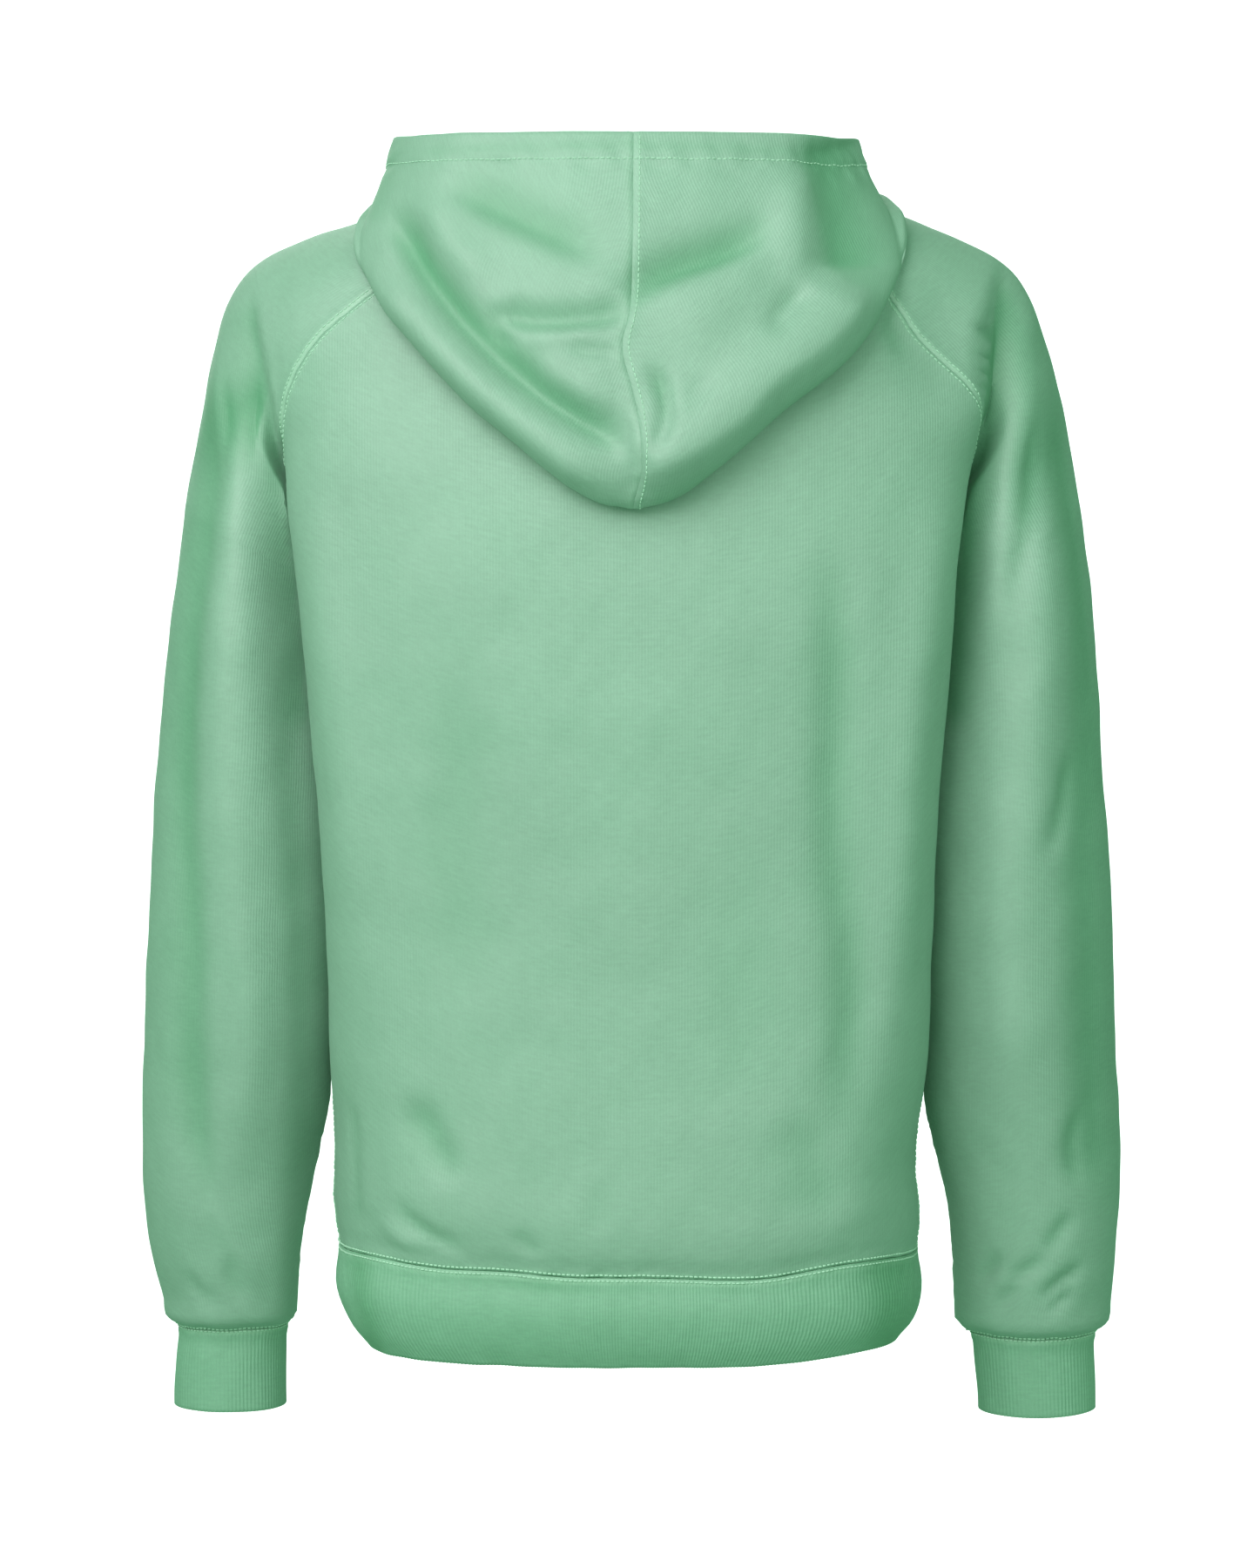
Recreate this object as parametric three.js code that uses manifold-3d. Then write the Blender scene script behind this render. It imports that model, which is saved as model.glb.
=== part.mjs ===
// Zip-up hoodie, filled out as it is worn, with the arms hanging and the hood down on the back.
//
// Frame: millimetres, +Z up, +Y behind the wearer, +X at the wearer's left. The origin is the middle of the
// line across both shoulders, where the wearer's shoulders carry the garment.
//
// Each piece is a wall of cloth made as a maker cuts it: back, two fronts, two raglan sleeves, a two-piece
// hood, patch pockets, hem band and cuffs. The zip has its tapes, chain, stops, box, slider and pull tab.
import * as THREE from "three";
import { mergeVertices } from "three/addons/utils/BufferGeometryUtils.js";
import Module from "manifold-3d";

// ---- Driving sizes ---------------------------------------------------------------------------------------
const CLOTH = 1.8; // brushed sweatshirt cloth
const RIB = 2.8; // doubled band cloth of the hem and cuffs
const TAPE = 0.9; // woven zip tape
const SEAM_GAP = 0.8; // between two pieces at a seam
const HEM_SEAM_Z = -628; // where the body meets the hem band
const HEM_EDGE_Z = -683; // the hem band's lower edge
const FRONT_EDGE = 8; // from the middle of the zip to the edge of each front
const SLEEVE_CLEAR = 5; // between a hanging sleeve and the body

const { PI } = Math;
const DEGREE = PI / 180;
const SECTION_POWER = 2.6; // above 2, so that a section is squarer than an ellipse
const BACK = new THREE.Vector3(0, 1, 0);

const clamp = THREE.MathUtils.clamp;
const lerp = THREE.MathUtils.lerp;
const ease = (x) => THREE.MathUtils.smoothstep(x, 0, 1);
const bell = (x) => Math.exp(-x * x);
const point = (x, y, z) => new THREE.Vector3(x, y, z);

// ---- Tables ----------------------------------------------------------------------------------------------

// Reads a table with named columns, sorted by its first one. The reader gives a column's value at any key, on
// a cubic curve through the rows.
function table(columns, rows) {
  const names = columns.split(" ");
  const keys = rows.map((row) => row[0]);
  const last = rows.length - 1;
  return (name, key) => {
    const column = names.indexOf(name);
    const value = (i) => rows[i][column];
    const at = clamp(key, keys[0], keys[last]);
    const i = clamp(keys.findIndex((k) => k > at) - 1, 0, last - 1);
    const row = at >= keys[last] ? last - 1 : i;
    const slope = (j) => {
      const a = Math.max(j - 1, 0);
      const b = Math.min(j + 1, last);
      return (value(b) - value(a)) / (keys[b] - keys[a]);
    };
    const width = keys[row + 1] - keys[row];
    const t = (at - keys[row]) / width;
    const s = 1 - t;
    return (
      value(row) * (1 + 2 * t) * s * s +
      value(row + 1) * t * t * (3 - 2 * t) +
      slope(row) * width * t * s * s -
      slope(row + 1) * width * t * t * s
    );
  };
}

// The body's sections: half width, depth behind and before the middle, and how far the hanging arm presses
// the side in.
const torso = table("z wide back front dent", [
  [-683, 168, 104, 106, 0],
  [-668, 179, 112, 114, 0],
  [-648, 185, 117, 119, 0],
  [-628, 184, 116, 118, 0],
  [-615, 188, 121, 123, 0],
  [-588, 192, 124, 126, 0],
  [-525, 197, 122, 125, 7],
  [-450, 205, 121, 127, 20],
  [-385, 212, 122, 130, 30],
  [-275, 227, 127, 137, 45],
  [-205, 236, 127, 138, 50],
  [-160, 242, 124, 134, 44],
  [-115, 244, 118, 123, 30],
  [-80, 245, 110, 109, 15],
  [-46, 239, 100, 88, 3],
  [-20, 226, 90, 79, 0],
  [0, 204, 81, 70, 0],
  [20, 168, 71, 59, 0],
  [36, 130, 62, 48, 0],
  [52, 97, 52, 38, 0],
]);
const DENT_ANGLE = 92 * DEGREE;
const DENT_SPREAD = 16 * DEGREE;

// Where the back and the fronts end, at the raglan seams from the neck (row 0) to the underarm (row 1) and at
// the side seams from there to the hem band (row 2), and the rows' heights at the middle of the back and of
// the front. Angles are in degrees from the middle of the back.
const seams = table("row back_angle back_z front_angle front_z mid_back_z mid_front_z", [
  [0, 68, 47.5, 118, 31, 36, -46],
  [0.14, 61, 19, 121, 6, 12, -68],
  [0.29, 64, -18, 118, -30, -20, -94],
  [0.43, 69.5, -54, 113, -64, -54, -122],
  [0.56, 74, -86, 108, -98, -86, -148],
  [0.7, 79, -122, 103, -134, -122, -174],
  [0.85, 86, -166, 98, -172, -166, -198],
  [1, 93.6, -206, 93.6, -206, -206, -224],
  [1.5, 88, -408, 88, -408, -408, -418],
  [2, 84, HEM_SEAM_Z, 84, HEM_SEAM_Z, HEM_SEAM_Z, HEM_SEAM_Z],
]);
const UNDERARM = 315; // along the sleeve from the neck

// The sleeves: the outer line over the shoulder and down the arm, the inner line opposite to it, the middle's
// place from front to back, and half the depth.
const CUFF_SEAM = 830;
const arm = table("along out_x out_z in_x in_z y deep", [
  [0, 99, 50, 87, -50, -8, 46],
  [50, 148, 30, 112, -75, -8, 54],
  [100, 195, 16, 137, -105, -9, 60],
  [140, 233, -1, 152, -135, -11, 64],
  [175, 253, -24, 163, -160, -12, 66],
  [215, 266, -60, 171, -178, -12, 66],
  [265, 275, -107, 179, -194, -12, 66],
  [UNDERARM, 282.5, -156, 185, -206, -12, 66],
  [375, 291, -217, 186, -245, -12, 65],
  [445, 299, -288, 185, -300, -12, 64],
  [525, 305.5, -370, 186, -372, -14, 62],
  [605, 310.5, -452, 189, -450, -20, 60],
  [685, 314, -535, 195, -533, -30, 57],
  [745, 314.5, -595, 204, -593, -39, 53],
  [790, 312, -640, 208, -640, -46, 49],
  [812, 309, -666, 210, -666, -50, 45],
  [821, 308, -679, 212, -679, -51, 43],
  [CUFF_SEAM, 299, -685, 221, -685, -52, 34],
]);

// The hood, by the angle from the middle of the back to the middle of the front: the outer roll on which it
// lies, the rim of its opening, and how much farther the roll lies out on the wearer's right.
const hood = table("angle roll_x roll_y roll_z rim_x rim_y rim_z right", [
  [0, 0, 150, -153, 0, 102, 72, 0],
  [10, 27, 150, -148, 26, 101, 72, 2],
  [20, 52, 147, -130, 51, 98, 72, 4],
  [40, 97, 135, -93, 98, 86, 72, 9],
  [60, 134, 111, -50, 130, 62, 72, 12],
  [80, 158, 76, -14, 144, 33, 72, 5],
  [98, 159, 34, 16, 138, 2, 64, 1],
  [118, 146, -28, 38, 114, -42, 52, 0],
  [138, 110, -80, 18, 86, -76, 24, 0],
  [160, 56, -110, -24, 44, -104, -14, 0],
  [180, 9, -106, -46, 9, -101, -32, 0],
]);

// The hood's largest folds, as lines over its surface: where each starts and ends, by the angle from the
// middle of the back (positive at the wearer's left) and the share of the way up, its half width and how far
// it stands out (or in, below zero).
const HOOD_FOLDS = [
  { from: [104, 0.66], to: [64, 0.6], width: 17, out: -8 },
  { from: [64, 0.6], to: [30, 0.585], width: 18, out: -9 },
  { from: [30, 0.585], to: [0, 0.6], width: 18, out: -7 },
  { from: [-12, 0.58], to: [-70, 0.56], width: 20, out: -6 },
  { from: [60, 0.83], to: [22, 0.71], width: 15, out: -5 },
  { from: [34, 0.67], to: [0, 0.71], width: 14, out: -5 },
  { from: [0, 0.71], to: [-40, 0.86], width: 17, out: -6 },
  { from: [9, 0.665], to: [2, 0.655], width: 9, out: 5 },
];
const ROUND_MM = 2.5; // over the hood, for a degree of its angle
const UP_MM = 420; // over the hood, for its whole way up

// ---- The garment's surfaces ------------------------------------------------------------------------------

// The body's distance from its upright middle line, at an angle from the middle of the back.
function torsoRadius(angle, z) {
  const turn = Math.abs(angle);
  const depth = turn < PI / 2 ? torso("back", z) : torso("front", z);
  const across = Math.abs(Math.sin(turn)) / torso("wide", z);
  const along = Math.abs(Math.cos(turn)) / depth;
  const radius = (across ** SECTION_POWER + along ** SECTION_POWER) ** (-1 / SECTION_POWER);
  return radius - torso("dent", z) * bell((turn - DENT_ANGLE) / DENT_SPREAD);
}

function torsoPoint(angle, z) {
  const radius = torsoRadius(angle, z);
  return point(radius * Math.sin(angle), radius * Math.cos(angle), z);
}

// The neck seam, by the angle from the middle of the back.
const NECK = { half: 97, back: 62, front: 84, backZ: 36, sideZ: 52, frontZ: -46 };
function neckPoint(angle) {
  const sine = Math.abs(Math.sin(angle));
  const behind = Math.cos(angle) > 0;
  const z = behind
    ? lerp(NECK.backZ, NECK.sideZ, sine ** 2)
    : lerp(NECK.frontZ, NECK.sideZ, sine ** 1.5);
  return point(
    NECK.half * Math.sin(angle),
    (behind ? NECK.back : NECK.front) * Math.cos(angle),
    z,
  );
}
const NECK_BACK_SEAM = 58 * DEGREE;
const NECK_FRONT_SEAM = 122 * DEGREE;
const NECK_REACH = 0.24; // rows down to which the neck seam's line is felt
const neckShare = (row) => 1 - ease(row / NECK_REACH);

// Where the back or the front ends in a row. Below the underarm both end in the side seam.
function edgeOf(half, row) {
  const seam = row > 1 ? "back" : half;
  return { angle: seams(`${seam}_angle`, row) * DEGREE, z: seams(`${seam}_z`, row) };
}

// across runs from -1 at the wearer's right to 1 at the left.
function backPoint(row, across) {
  const edge = edgeOf("back", row);
  const z = lerp(seams("mid_back_z", row), edge.z, across * across);
  return torsoPoint(across * edge.angle, z).lerp(neckPoint(across * NECK_BACK_SEAM), neckShare(row));
}

// inward runs from 0 at the side or raglan seam to 1 at the zip.
function frontPoint(side, row, inward) {
  const edge = edgeOf("front", row);
  const midZ = seams("mid_front_z", row);
  const middle = PI - Math.asin(FRONT_EDGE / torso("front", midZ));
  const z = lerp(edge.z, midZ, inward * (2 - inward));
  const made = torsoPoint(lerp(edge.angle, middle, inward), z);
  const neckMiddle = PI - Math.asin(FRONT_EDGE / NECK.half);
  made.lerp(neckPoint(lerp(NECK_FRONT_SEAM, neckMiddle, inward)), neckShare(row));
  return made.multiply(point(side, 1, 1));
}

function insideTorso(p) {
  const angle = Math.atan2(p.x, p.y);
  return Math.hypot(p.x, p.y) < torsoRadius(angle, p.z);
}

// How far a ray from inside the body goes before it leaves it.
function torsoExit(from, direction) {
  const reached = (distance) => insideTorso(from.clone().addScaledVector(direction, distance));
  if (!reached(0)) return 0;
  let low = 0;
  while (low < 260 && reached(low + 8)) low += 8;
  let high = low + 8;
  for (let i = 0; i < 12; i++) {
    const middle = (low + high) / 2;
    if (reached(middle)) low = middle;
    else high = middle;
  }
  return low;
}

// The larger of two distances, with the corner between them rounded.
function roundedMax(a, b, round) {
  const near = Math.max(round - Math.abs(a - b), 0) / round;
  return Math.max(a, b) + (near * near * round) / 4;
}

function slerp(a, b, share) {
  const angle = a.angleTo(b);
  if (angle < 1e-4) return a.clone();
  return a
    .clone()
    .multiplyScalar(Math.sin((1 - share) * angle))
    .addScaledVector(b, Math.sin(share * angle))
    .normalize();
}

// One row of a left sleeve: its middle, the way to its outer line and its half widths.
function armRow(along) {
  const outer = point(arm("out_x", along), arm("y", along), arm("out_z", along));
  const inner = point(arm("in_x", along), arm("y", along), arm("in_z", along));
  const middle = outer.clone().add(inner).multiplyScalar(0.5);
  return {
    middle,
    inner,
    way: outer.clone().sub(middle).normalize(),
    half: outer.distanceTo(middle),
    deep: arm("deep", along),
  };
}

// Moves a point square away from the body until it is clear of the body by a distance.
function clearOfTorso(p, by) {
  for (let step = 0; step < 4; step++) {
    const angle = Math.atan2(p.x, p.y);
    const radius = Math.hypot(p.x, p.y);
    const slope = (torsoRadius(angle, p.z + 1) - torsoRadius(angle, p.z - 1)) / 2;
    const steep = Math.hypot(1, slope);
    const gap = (radius - torsoRadius(angle, p.z)) / steep;
    if (gap >= by) break;
    const move = (by - gap) / steep;
    p.multiply(point(1 + move / radius, 1 + move / radius, 1));
    p.z -= slope * move;
  }
  return p;
}

const ARMHOLE_ROUND = { neck: 24, underarm: 2 }; // of the corner where the sleeve's tube meets the body
const SEAM_PULL = 0.4; // the share of a sleeve's half, from its seam, that is drawn to the seam
const SEAM_CLEAR = 0.12; // the share of it, from its seam, along which it comes clear of the body
const CLEAR_ROWS = { from: 0.5, over: 0.3 }; // where a sleeve starts to hang clear of the body

// Rows of a sleeve run from the neck (0) to the underarm (1) and on to the cuff (2). around runs from -1 at
// the back seam over the outer line to 1 at the front seam. Below the underarm both ends meet in one seam.
function sleevePoint(side, row, around) {
  const along = Math.min(row, 1) * UNDERARM + Math.max(row - 1, 0) * (CUFF_SEAM - UNDERARM);
  const { middle, inner, way, half, deep } = armRow(along);
  const closed = row > 1;
  const ahead = around > 0;
  const seam = edgeOf(ahead ? "front" : "back", Math.min(row, 1));
  const end = closed ? inner : torsoPoint(seam.angle, seam.z);
  const toEnd = end.clone().sub(middle).normalize();
  const toSide = toEnd
    .clone()
    .add(way)
    .addScaledVector(BACK, ahead ? -0.5 : 0.5)
    .normalize();
  const reach = Math.abs(around) * 2;
  const round = lerp(ARMHOLE_ROUND.neck, ARMHOLE_ROUND.underarm, row);
  const surface = (direction) => {
    const cloth = Math.hypot(direction.dot(way) / half, direction.y / deep) ** -1;
    const distance = closed ? cloth : roundedMax(cloth, torsoExit(middle, direction), round);
    return middle.clone().addScaledVector(direction, distance);
  };
  const direction = reach < 1 ? slerp(way, toSide, reach) : slerp(toSide, toEnd, reach - 1);
  const made = surface(direction);
  if (!closed) {
    const miss = end.clone().sub(surface(toEnd));
    made.addScaledVector(miss, ease((Math.abs(around) - 1 + SEAM_PULL) / SEAM_PULL));
    made.lerp(neckPoint(lerp(NECK_BACK_SEAM, NECK_FRONT_SEAM, (around + 1) / 2)), neckShare(row));
  }
  const edge = closed ? 1 : ease((1 - Math.abs(around)) / SEAM_CLEAR);
  const hanging = ease((row - CLEAR_ROWS.from) / CLEAR_ROWS.over);
  if (row > CLEAR_ROWS.from) clearOfTorso(made, SLEEVE_CLEAR * edge * hanging);
  return made.multiply(point(side, 1, 1));
}

// The hood's surface: turn is the angle from the middle of the back, up runs from 0 at the neck seam, round
// the outer roll at ROLL, to 1 at the rim.
const ROLL = 0.45;
const HOOD_CLEAR = 8; // between the hood and the body it lies on
const SHOULDER_CLEAR = 8; // more of it where the shoulder's cloth stands up
const SHOULDER = { angle: 112, spread: 24 }; // where that is, from the middle of the back
const LAYER_CLEAR = 7; // between the hood's lower layer and its upper one
const RIM_SHARE = { left: 1.02, right: 0.96 }; // the opening's halves, which lie a little unevenly
const NECK_SMOOTH = 0.12; // shares of the way up over which the clearances and the folds come and go
const LAYER_SMOOTH = 0.2;
const RIM_SMOOTH = 0.1;
// The curves from the neck seam to the roll and from the roll to the rim: how far they lead out and up at
// each end, in millimetres at the neck and as shares of the way to be covered.
const RISE_FROM_NECK = { out: 8, up: 14 };
const SINK_TO_ROLL = { out: -0.16, up: -0.032 };
const RISE_FROM_ROLL = { out: 0.17, up: 0.06 };
const SINK_TO_RIM = { out: 0.16, up: -0.36 };

// How far the folds move the cloth out at a place on the hood.
function foldsAt(folds, degrees, up) {
  const place = (at) => new THREE.Vector2(at[0] * ROUND_MM, at[1] * UP_MM);
  const here = place([degrees, up]);
  return folds.reduce((sum, { from, to, width, out }) => {
    const start = place(from);
    const way = place(to).sub(start);
    const share = clamp(here.clone().sub(start).dot(way) / way.lengthSq(), 0, 1);
    return sum + out * bell(here.distanceTo(start.addScaledVector(way, share)) / width);
  }, 0);
}

function hoodPoint(side, turn, up) {
  const degrees = turn / DEGREE;
  const seam = neckPoint(turn);
  seam.z += SEAM_GAP;
  const roll = point(hood("roll_x", degrees), hood("roll_y", degrees), hood("roll_z", degrees));
  const rim = point(hood("rim_x", degrees), hood("rim_y", degrees), hood("rim_z", degrees));
  if (side < 0) roll.x += hood("right", degrees);
  rim.x *= side > 0 ? RIM_SHARE.left : RIM_SHARE.right;
  const outward = point(roll.x - seam.x, roll.y - seam.y, 0).normalize();
  const led = (from, { out, up: upward }, length) =>
    from.clone().addScaledVector(outward, out * length).add(point(0, 0, upward * length));
  const fall = roll.distanceTo(seam);
  const under = new THREE.CubicBezierCurve3(
    seam,
    led(seam, RISE_FROM_NECK, 1),
    led(roll, SINK_TO_ROLL, fall),
    roll,
  );
  const rise = roll.distanceTo(rim);
  const over = new THREE.CubicBezierCurve3(
    roll,
    led(roll, RISE_FROM_ROLL, rise),
    led(rim, SINK_TO_RIM, rise),
    rim,
  );
  const made = up < ROLL ? under.getPoint(up / ROLL) : over.getPoint((up - ROLL) / (1 - ROLL));
  made.addScaledVector(outward, foldsAt(HOOD_FOLDS, side * degrees, up) * ease((1 - up) / RIM_SMOOTH));
  const clear = HOOD_CLEAR + SHOULDER_CLEAR * bell((degrees - SHOULDER.angle) / SHOULDER.spread);
  clearOfTorso(made, clear * ease(up / NECK_SMOOTH) + LAYER_CLEAR * ease((up - ROLL) / LAYER_SMOOTH));
  return made.multiply(point(side, 1, 1));
}

// ---- Walls of cloth --------------------------------------------------------------------------------------

// A sheet is a grid of points on the cloth's outer face, whose outside is at the cross product of its columns'
// way and its rows' way.
const sheets = [];

function addSheet(name, grid, { thickness = CLOTH, material = GREEN, gap = SEAM_GAP / 2 } = {}) {
  sheets.push({ name, grid, thickness, material, gap });
}

// The same sheet read from its other end, for a piece on the wearer's right.
const facing = (side, grid) => (side > 0 ? grid : grid.map((row) => [...row].reverse()));

function normalsOf(grid) {
  const near = (list, i) => list[clamp(i, 0, list.length - 1)];
  return grid.map((row, i) =>
    row.map((_, j) => {
      const down = near(grid, i + 1)[j].clone().sub(near(grid, i - 1)[j]);
      const along = near(row, j + 1).clone().sub(near(row, j - 1));
      return along.cross(down).normalize();
    }),
  );
}

// Where sheets share a seam point, all of them take the mean of their normals there, so that their walls stay
// apart by the seam's gap all through.
function shareNormals(list) {
  const meeting = new Map();
  const key = (p) => p.toArray().map((x) => Math.round(x * 5)).join();
  for (const one of list) {
    one.normals = normalsOf(one.grid);
    one.grid.flat().forEach((p, i) => {
      const sum = meeting.get(key(p)) ?? new THREE.Vector3();
      meeting.set(key(p), sum.add(one.normals.flat()[i]));
    });
  }
  for (const one of list)
    one.normals = one.grid.map((row) => row.map((p) => meeting.get(key(p)).clone().normalize()));
}

// Moves a sheet's edge points in towards their neighbours, to leave the gap of a seam.
function drawIn(grid, by) {
  const last = grid.length - 1;
  const end = grid[0].length - 1;
  const pull = (p, q) => p.clone().lerp(q, by / p.distanceTo(q));
  const drawn = grid.map((row) => [pull(row[0], row[1]), ...row.slice(1, end), pull(row[end], row[end - 1])]);
  const top = drawn[0].map((p, j) => pull(p, drawn[1][j]));
  const bottom = drawn[last].map((p, j) => pull(p, drawn[last - 1][j]));
  return [top, ...drawn.slice(1, last), bottom];
}

function closedGeometry(points, faces) {
  const geometry = new THREE.BufferGeometry().setFromPoints(points);
  geometry.setIndex(faces);
  geometry.computeVertexNormals();
  return geometry;
}

// A closed wall from a sheet's points, moved out along their normals by the depths to its outer and inner face.
function wall(grid, normals, outer, inner) {
  const rows = grid.length;
  const columns = grid[0].length;
  const layer = (depth) =>
    grid.flatMap((row, i) => row.map((p, j) => p.clone().addScaledVector(normals[i][j], depth(i, j))));
  const points = [...layer(outer), ...layer(inner)];
  const id = (i, j, inside) => (inside ? rows * columns : 0) + i * columns + j;
  const apart = (a, b) => points[a].distanceTo(points[b]);
  const faces = [];
  const quad = (a, b, c, d) => faces.push(a, c, b, a, d, c);
  const rim = (a, b, c, d) => (apart(a, c) < apart(b, d) ? quad(a, b, c, d) : quad(b, c, d, a));
  for (let i = 0; i + 1 < rows; i++)
    for (let j = 0; j + 1 < columns; j++) {
      const round = [id(i, j), id(i + 1, j), id(i + 1, j + 1), id(i, j + 1)];
      if (apart(round[1], round[3]) < apart(round[0], round[2])) round.push(round.shift());
      const inside = round.map((corner) => corner + rows * columns);
      quad(...round);
      quad(inside[0], inside[3], inside[2], inside[1]);
    }
  const low = rows - 1;
  const far = columns - 1;
  for (let j = 0; j < far; j++) {
    rim(id(0, j), id(0, j + 1), id(0, j + 1, true), id(0, j, true));
    rim(id(low, j, true), id(low, j + 1, true), id(low, j + 1), id(low, j));
  }
  for (let i = 0; i < low; i++) {
    rim(id(i, 0, true), id(i + 1, 0, true), id(i + 1, 0), id(i, 0));
    rim(id(i, far), id(i + 1, far), id(i + 1, far, true), id(i, far, true));
  }
  return closedGeometry(points, faces);
}

// ---- Finishes --------------------------------------------------------------------------------------------

const finish = (color, roughness, metalness = 0) =>
  new THREE.MeshStandardMaterial({ color, roughness, metalness, flatShading: true });
const GREEN = finish(0x97c8a9, 0.92);
const BAND_GREEN = finish(0x7fb893, 0.92);
const TAPE_GREEN = finish(0x86bd9a, 0.85);
const METAL = finish(0xb9bcb8, 0.35, 0.9);

const hoodie = new THREE.Group();
hoodie.name = "hoodie";

function add(name, geometry, material, parent = hoodie) {
  const mesh = new THREE.Mesh(geometry, material);
  mesh.name = name;
  parent.add(mesh);
  return mesh;
}

// ---- Cloth pieces ----------------------------------------------------------------------------------------

const SIDES = { left: 1, right: -1 };

// Rows shared by the pieces that meet along a seam, closer together where the cloth turns.
const CAP_ROWS = [0, 0.14, 0.29, 0.43, 0.56, 0.7, 0.85, 1];
const BODY_ROWS = [...CAP_ROWS, 1.11, 1.24, 1.38, 1.52, 1.66, 1.78, 1.87, 1.94, 1.98, 2];
const SLEEVE_ROWS = [...CAP_ROWS, 1.07, 1.16, 1.27, 1.39, 1.52, 1.65, 1.77, 1.87, 1.94, 1.98, 2];
const BACK_COLUMNS = 16;
const FRONT_COLUMNS = 7;
const SLEEVE_COLUMNS = 16;

const spread = (count) => Array.from({ length: count + 1 }, (_, i) => i / count);
const grid = (rows, columns, at) => rows.map((row) => columns.map((column) => at(row, column)));

const frontGrids = {};
const cuffEnds = {};
addSheet("back", grid(BODY_ROWS, spread(BACK_COLUMNS), (row, share) => backPoint(row, 2 * share - 1)));
for (const [name, side] of Object.entries(SIDES)) {
  frontGrids[name] = grid(BODY_ROWS, spread(FRONT_COLUMNS), (row, share) => frontPoint(side, row, share));
  addSheet(`front_${name}`, facing(side, frontGrids[name]));
  const sleeve = grid(SLEEVE_ROWS, spread(SLEEVE_COLUMNS), (row, share) =>
    sleevePoint(side, row, 2 * share - 1),
  );
  cuffEnds[name] = sleeve.at(-1);
  addSheet(`sleeve_${name}`, facing(side, sleeve));
}

// The hem band runs round from the zip at the right to the zip at the left, through the back.
const BAND_ROWS = [0, 0.2, 0.62, 0.9, 1];
const bandEnd = (z) => PI - Math.asin(FRONT_EDGE / torso("front", z));
const bandColumns = spread(44);
const band = grid(BAND_ROWS, bandColumns, (down, share) => {
  const z = lerp(HEM_SEAM_Z, HEM_EDGE_Z, down);
  return torsoPoint((2 * share - 1) * bandEnd(z), z);
});
addSheet("hem_band", band, { thickness: RIB, material: BAND_GREEN });

// A cuff keeps the sleeve end's outline, drawn in a little, and closes towards its lower edge.
const CUFF = { length: 52, rows: [0, 0.18, 0.6, 0.9, 1], tuck: 0.98, narrow: 0.97 };
for (const [name, side] of Object.entries(SIDES)) {
  const top = cuffEnds[name];
  const middle = top.reduce((sum, p) => sum.add(p), point(0, 0, 0)).divideScalar(top.length);
  const fall = point(-0.04 * side, -0.08, -1).normalize();
  const made = grid(CUFF.rows, spread(SLEEVE_COLUMNS), (down, share) => {
    const from = top[Math.round(share * SLEEVE_COLUMNS)];
    const scale = down < 0.18 ? lerp(1, CUFF.tuck, down / 0.18) : lerp(CUFF.tuck, CUFF.narrow, down);
    return middle.clone().lerp(from, scale).addScaledVector(fall, down * CUFF.length);
  });
  addSheet(`cuff_${name}`, facing(side, made), { thickness: RIB, material: BAND_GREEN });
}

// The hood's two halves meet at the seam down the middle of the back. Their front edges stand clear of the zip.
const HOOD_ROWS = [0, 0.1, 0.22, 0.32, 0.39, 0.45, 0.51, 0.57, 0.64, 0.71, 0.78, 0.85, 0.92, 0.97, 1];
const HOOD_COLUMNS = spread(18);
const HOOD_FRONT = PI - Math.asin(FRONT_EDGE / NECK.half);
for (const [name, side] of Object.entries(SIDES)) {
  const made = grid(HOOD_ROWS, HOOD_COLUMNS, (up, share) => hoodPoint(side, share * HOOD_FRONT, up));
  addSheet(`hood_${name}`, facing(-side, made));
}

shareNormals(sheets);
for (const { name, grid: points, normals, thickness, material, gap } of sheets)
  add(name, wall(drawIn(points, gap), normals, () => 0, () => -thickness), material);

// ---- Patch pockets ---------------------------------------------------------------------------------------

// A place on a sheet's faceted face, by its row and column with the shares between them.
function onSheet({ grid: points, normals }, row, column) {
  const i = clamp(Math.floor(row), 0, points.length - 2);
  const j = clamp(Math.floor(column), 0, points[0].length - 2);
  const blend = (values) =>
    values[i][j]
      .clone()
      .lerp(values[i][j + 1], column - j)
      .lerp(values[i + 1][j].clone().lerp(values[i + 1][j + 1], column - j), row - i);
  return { at: blend(points), normal: blend(normals).normalize() };
}

// The pocket's rows are the front's own, from its top edge to its sewn foot. Its opening slants from the top
// edge out to the side and ends at a bar tack. Reaches are shares of the way from the zip to the side seam.
const POCKET = { tackRow: 15, topReach: 0.5, sideReach: 0.93, zipReach: 0.1, lift: 2.8, belly: 3 };
const POCKET_ROWS = [11, 12, 13, 14, 15, 16];

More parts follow.
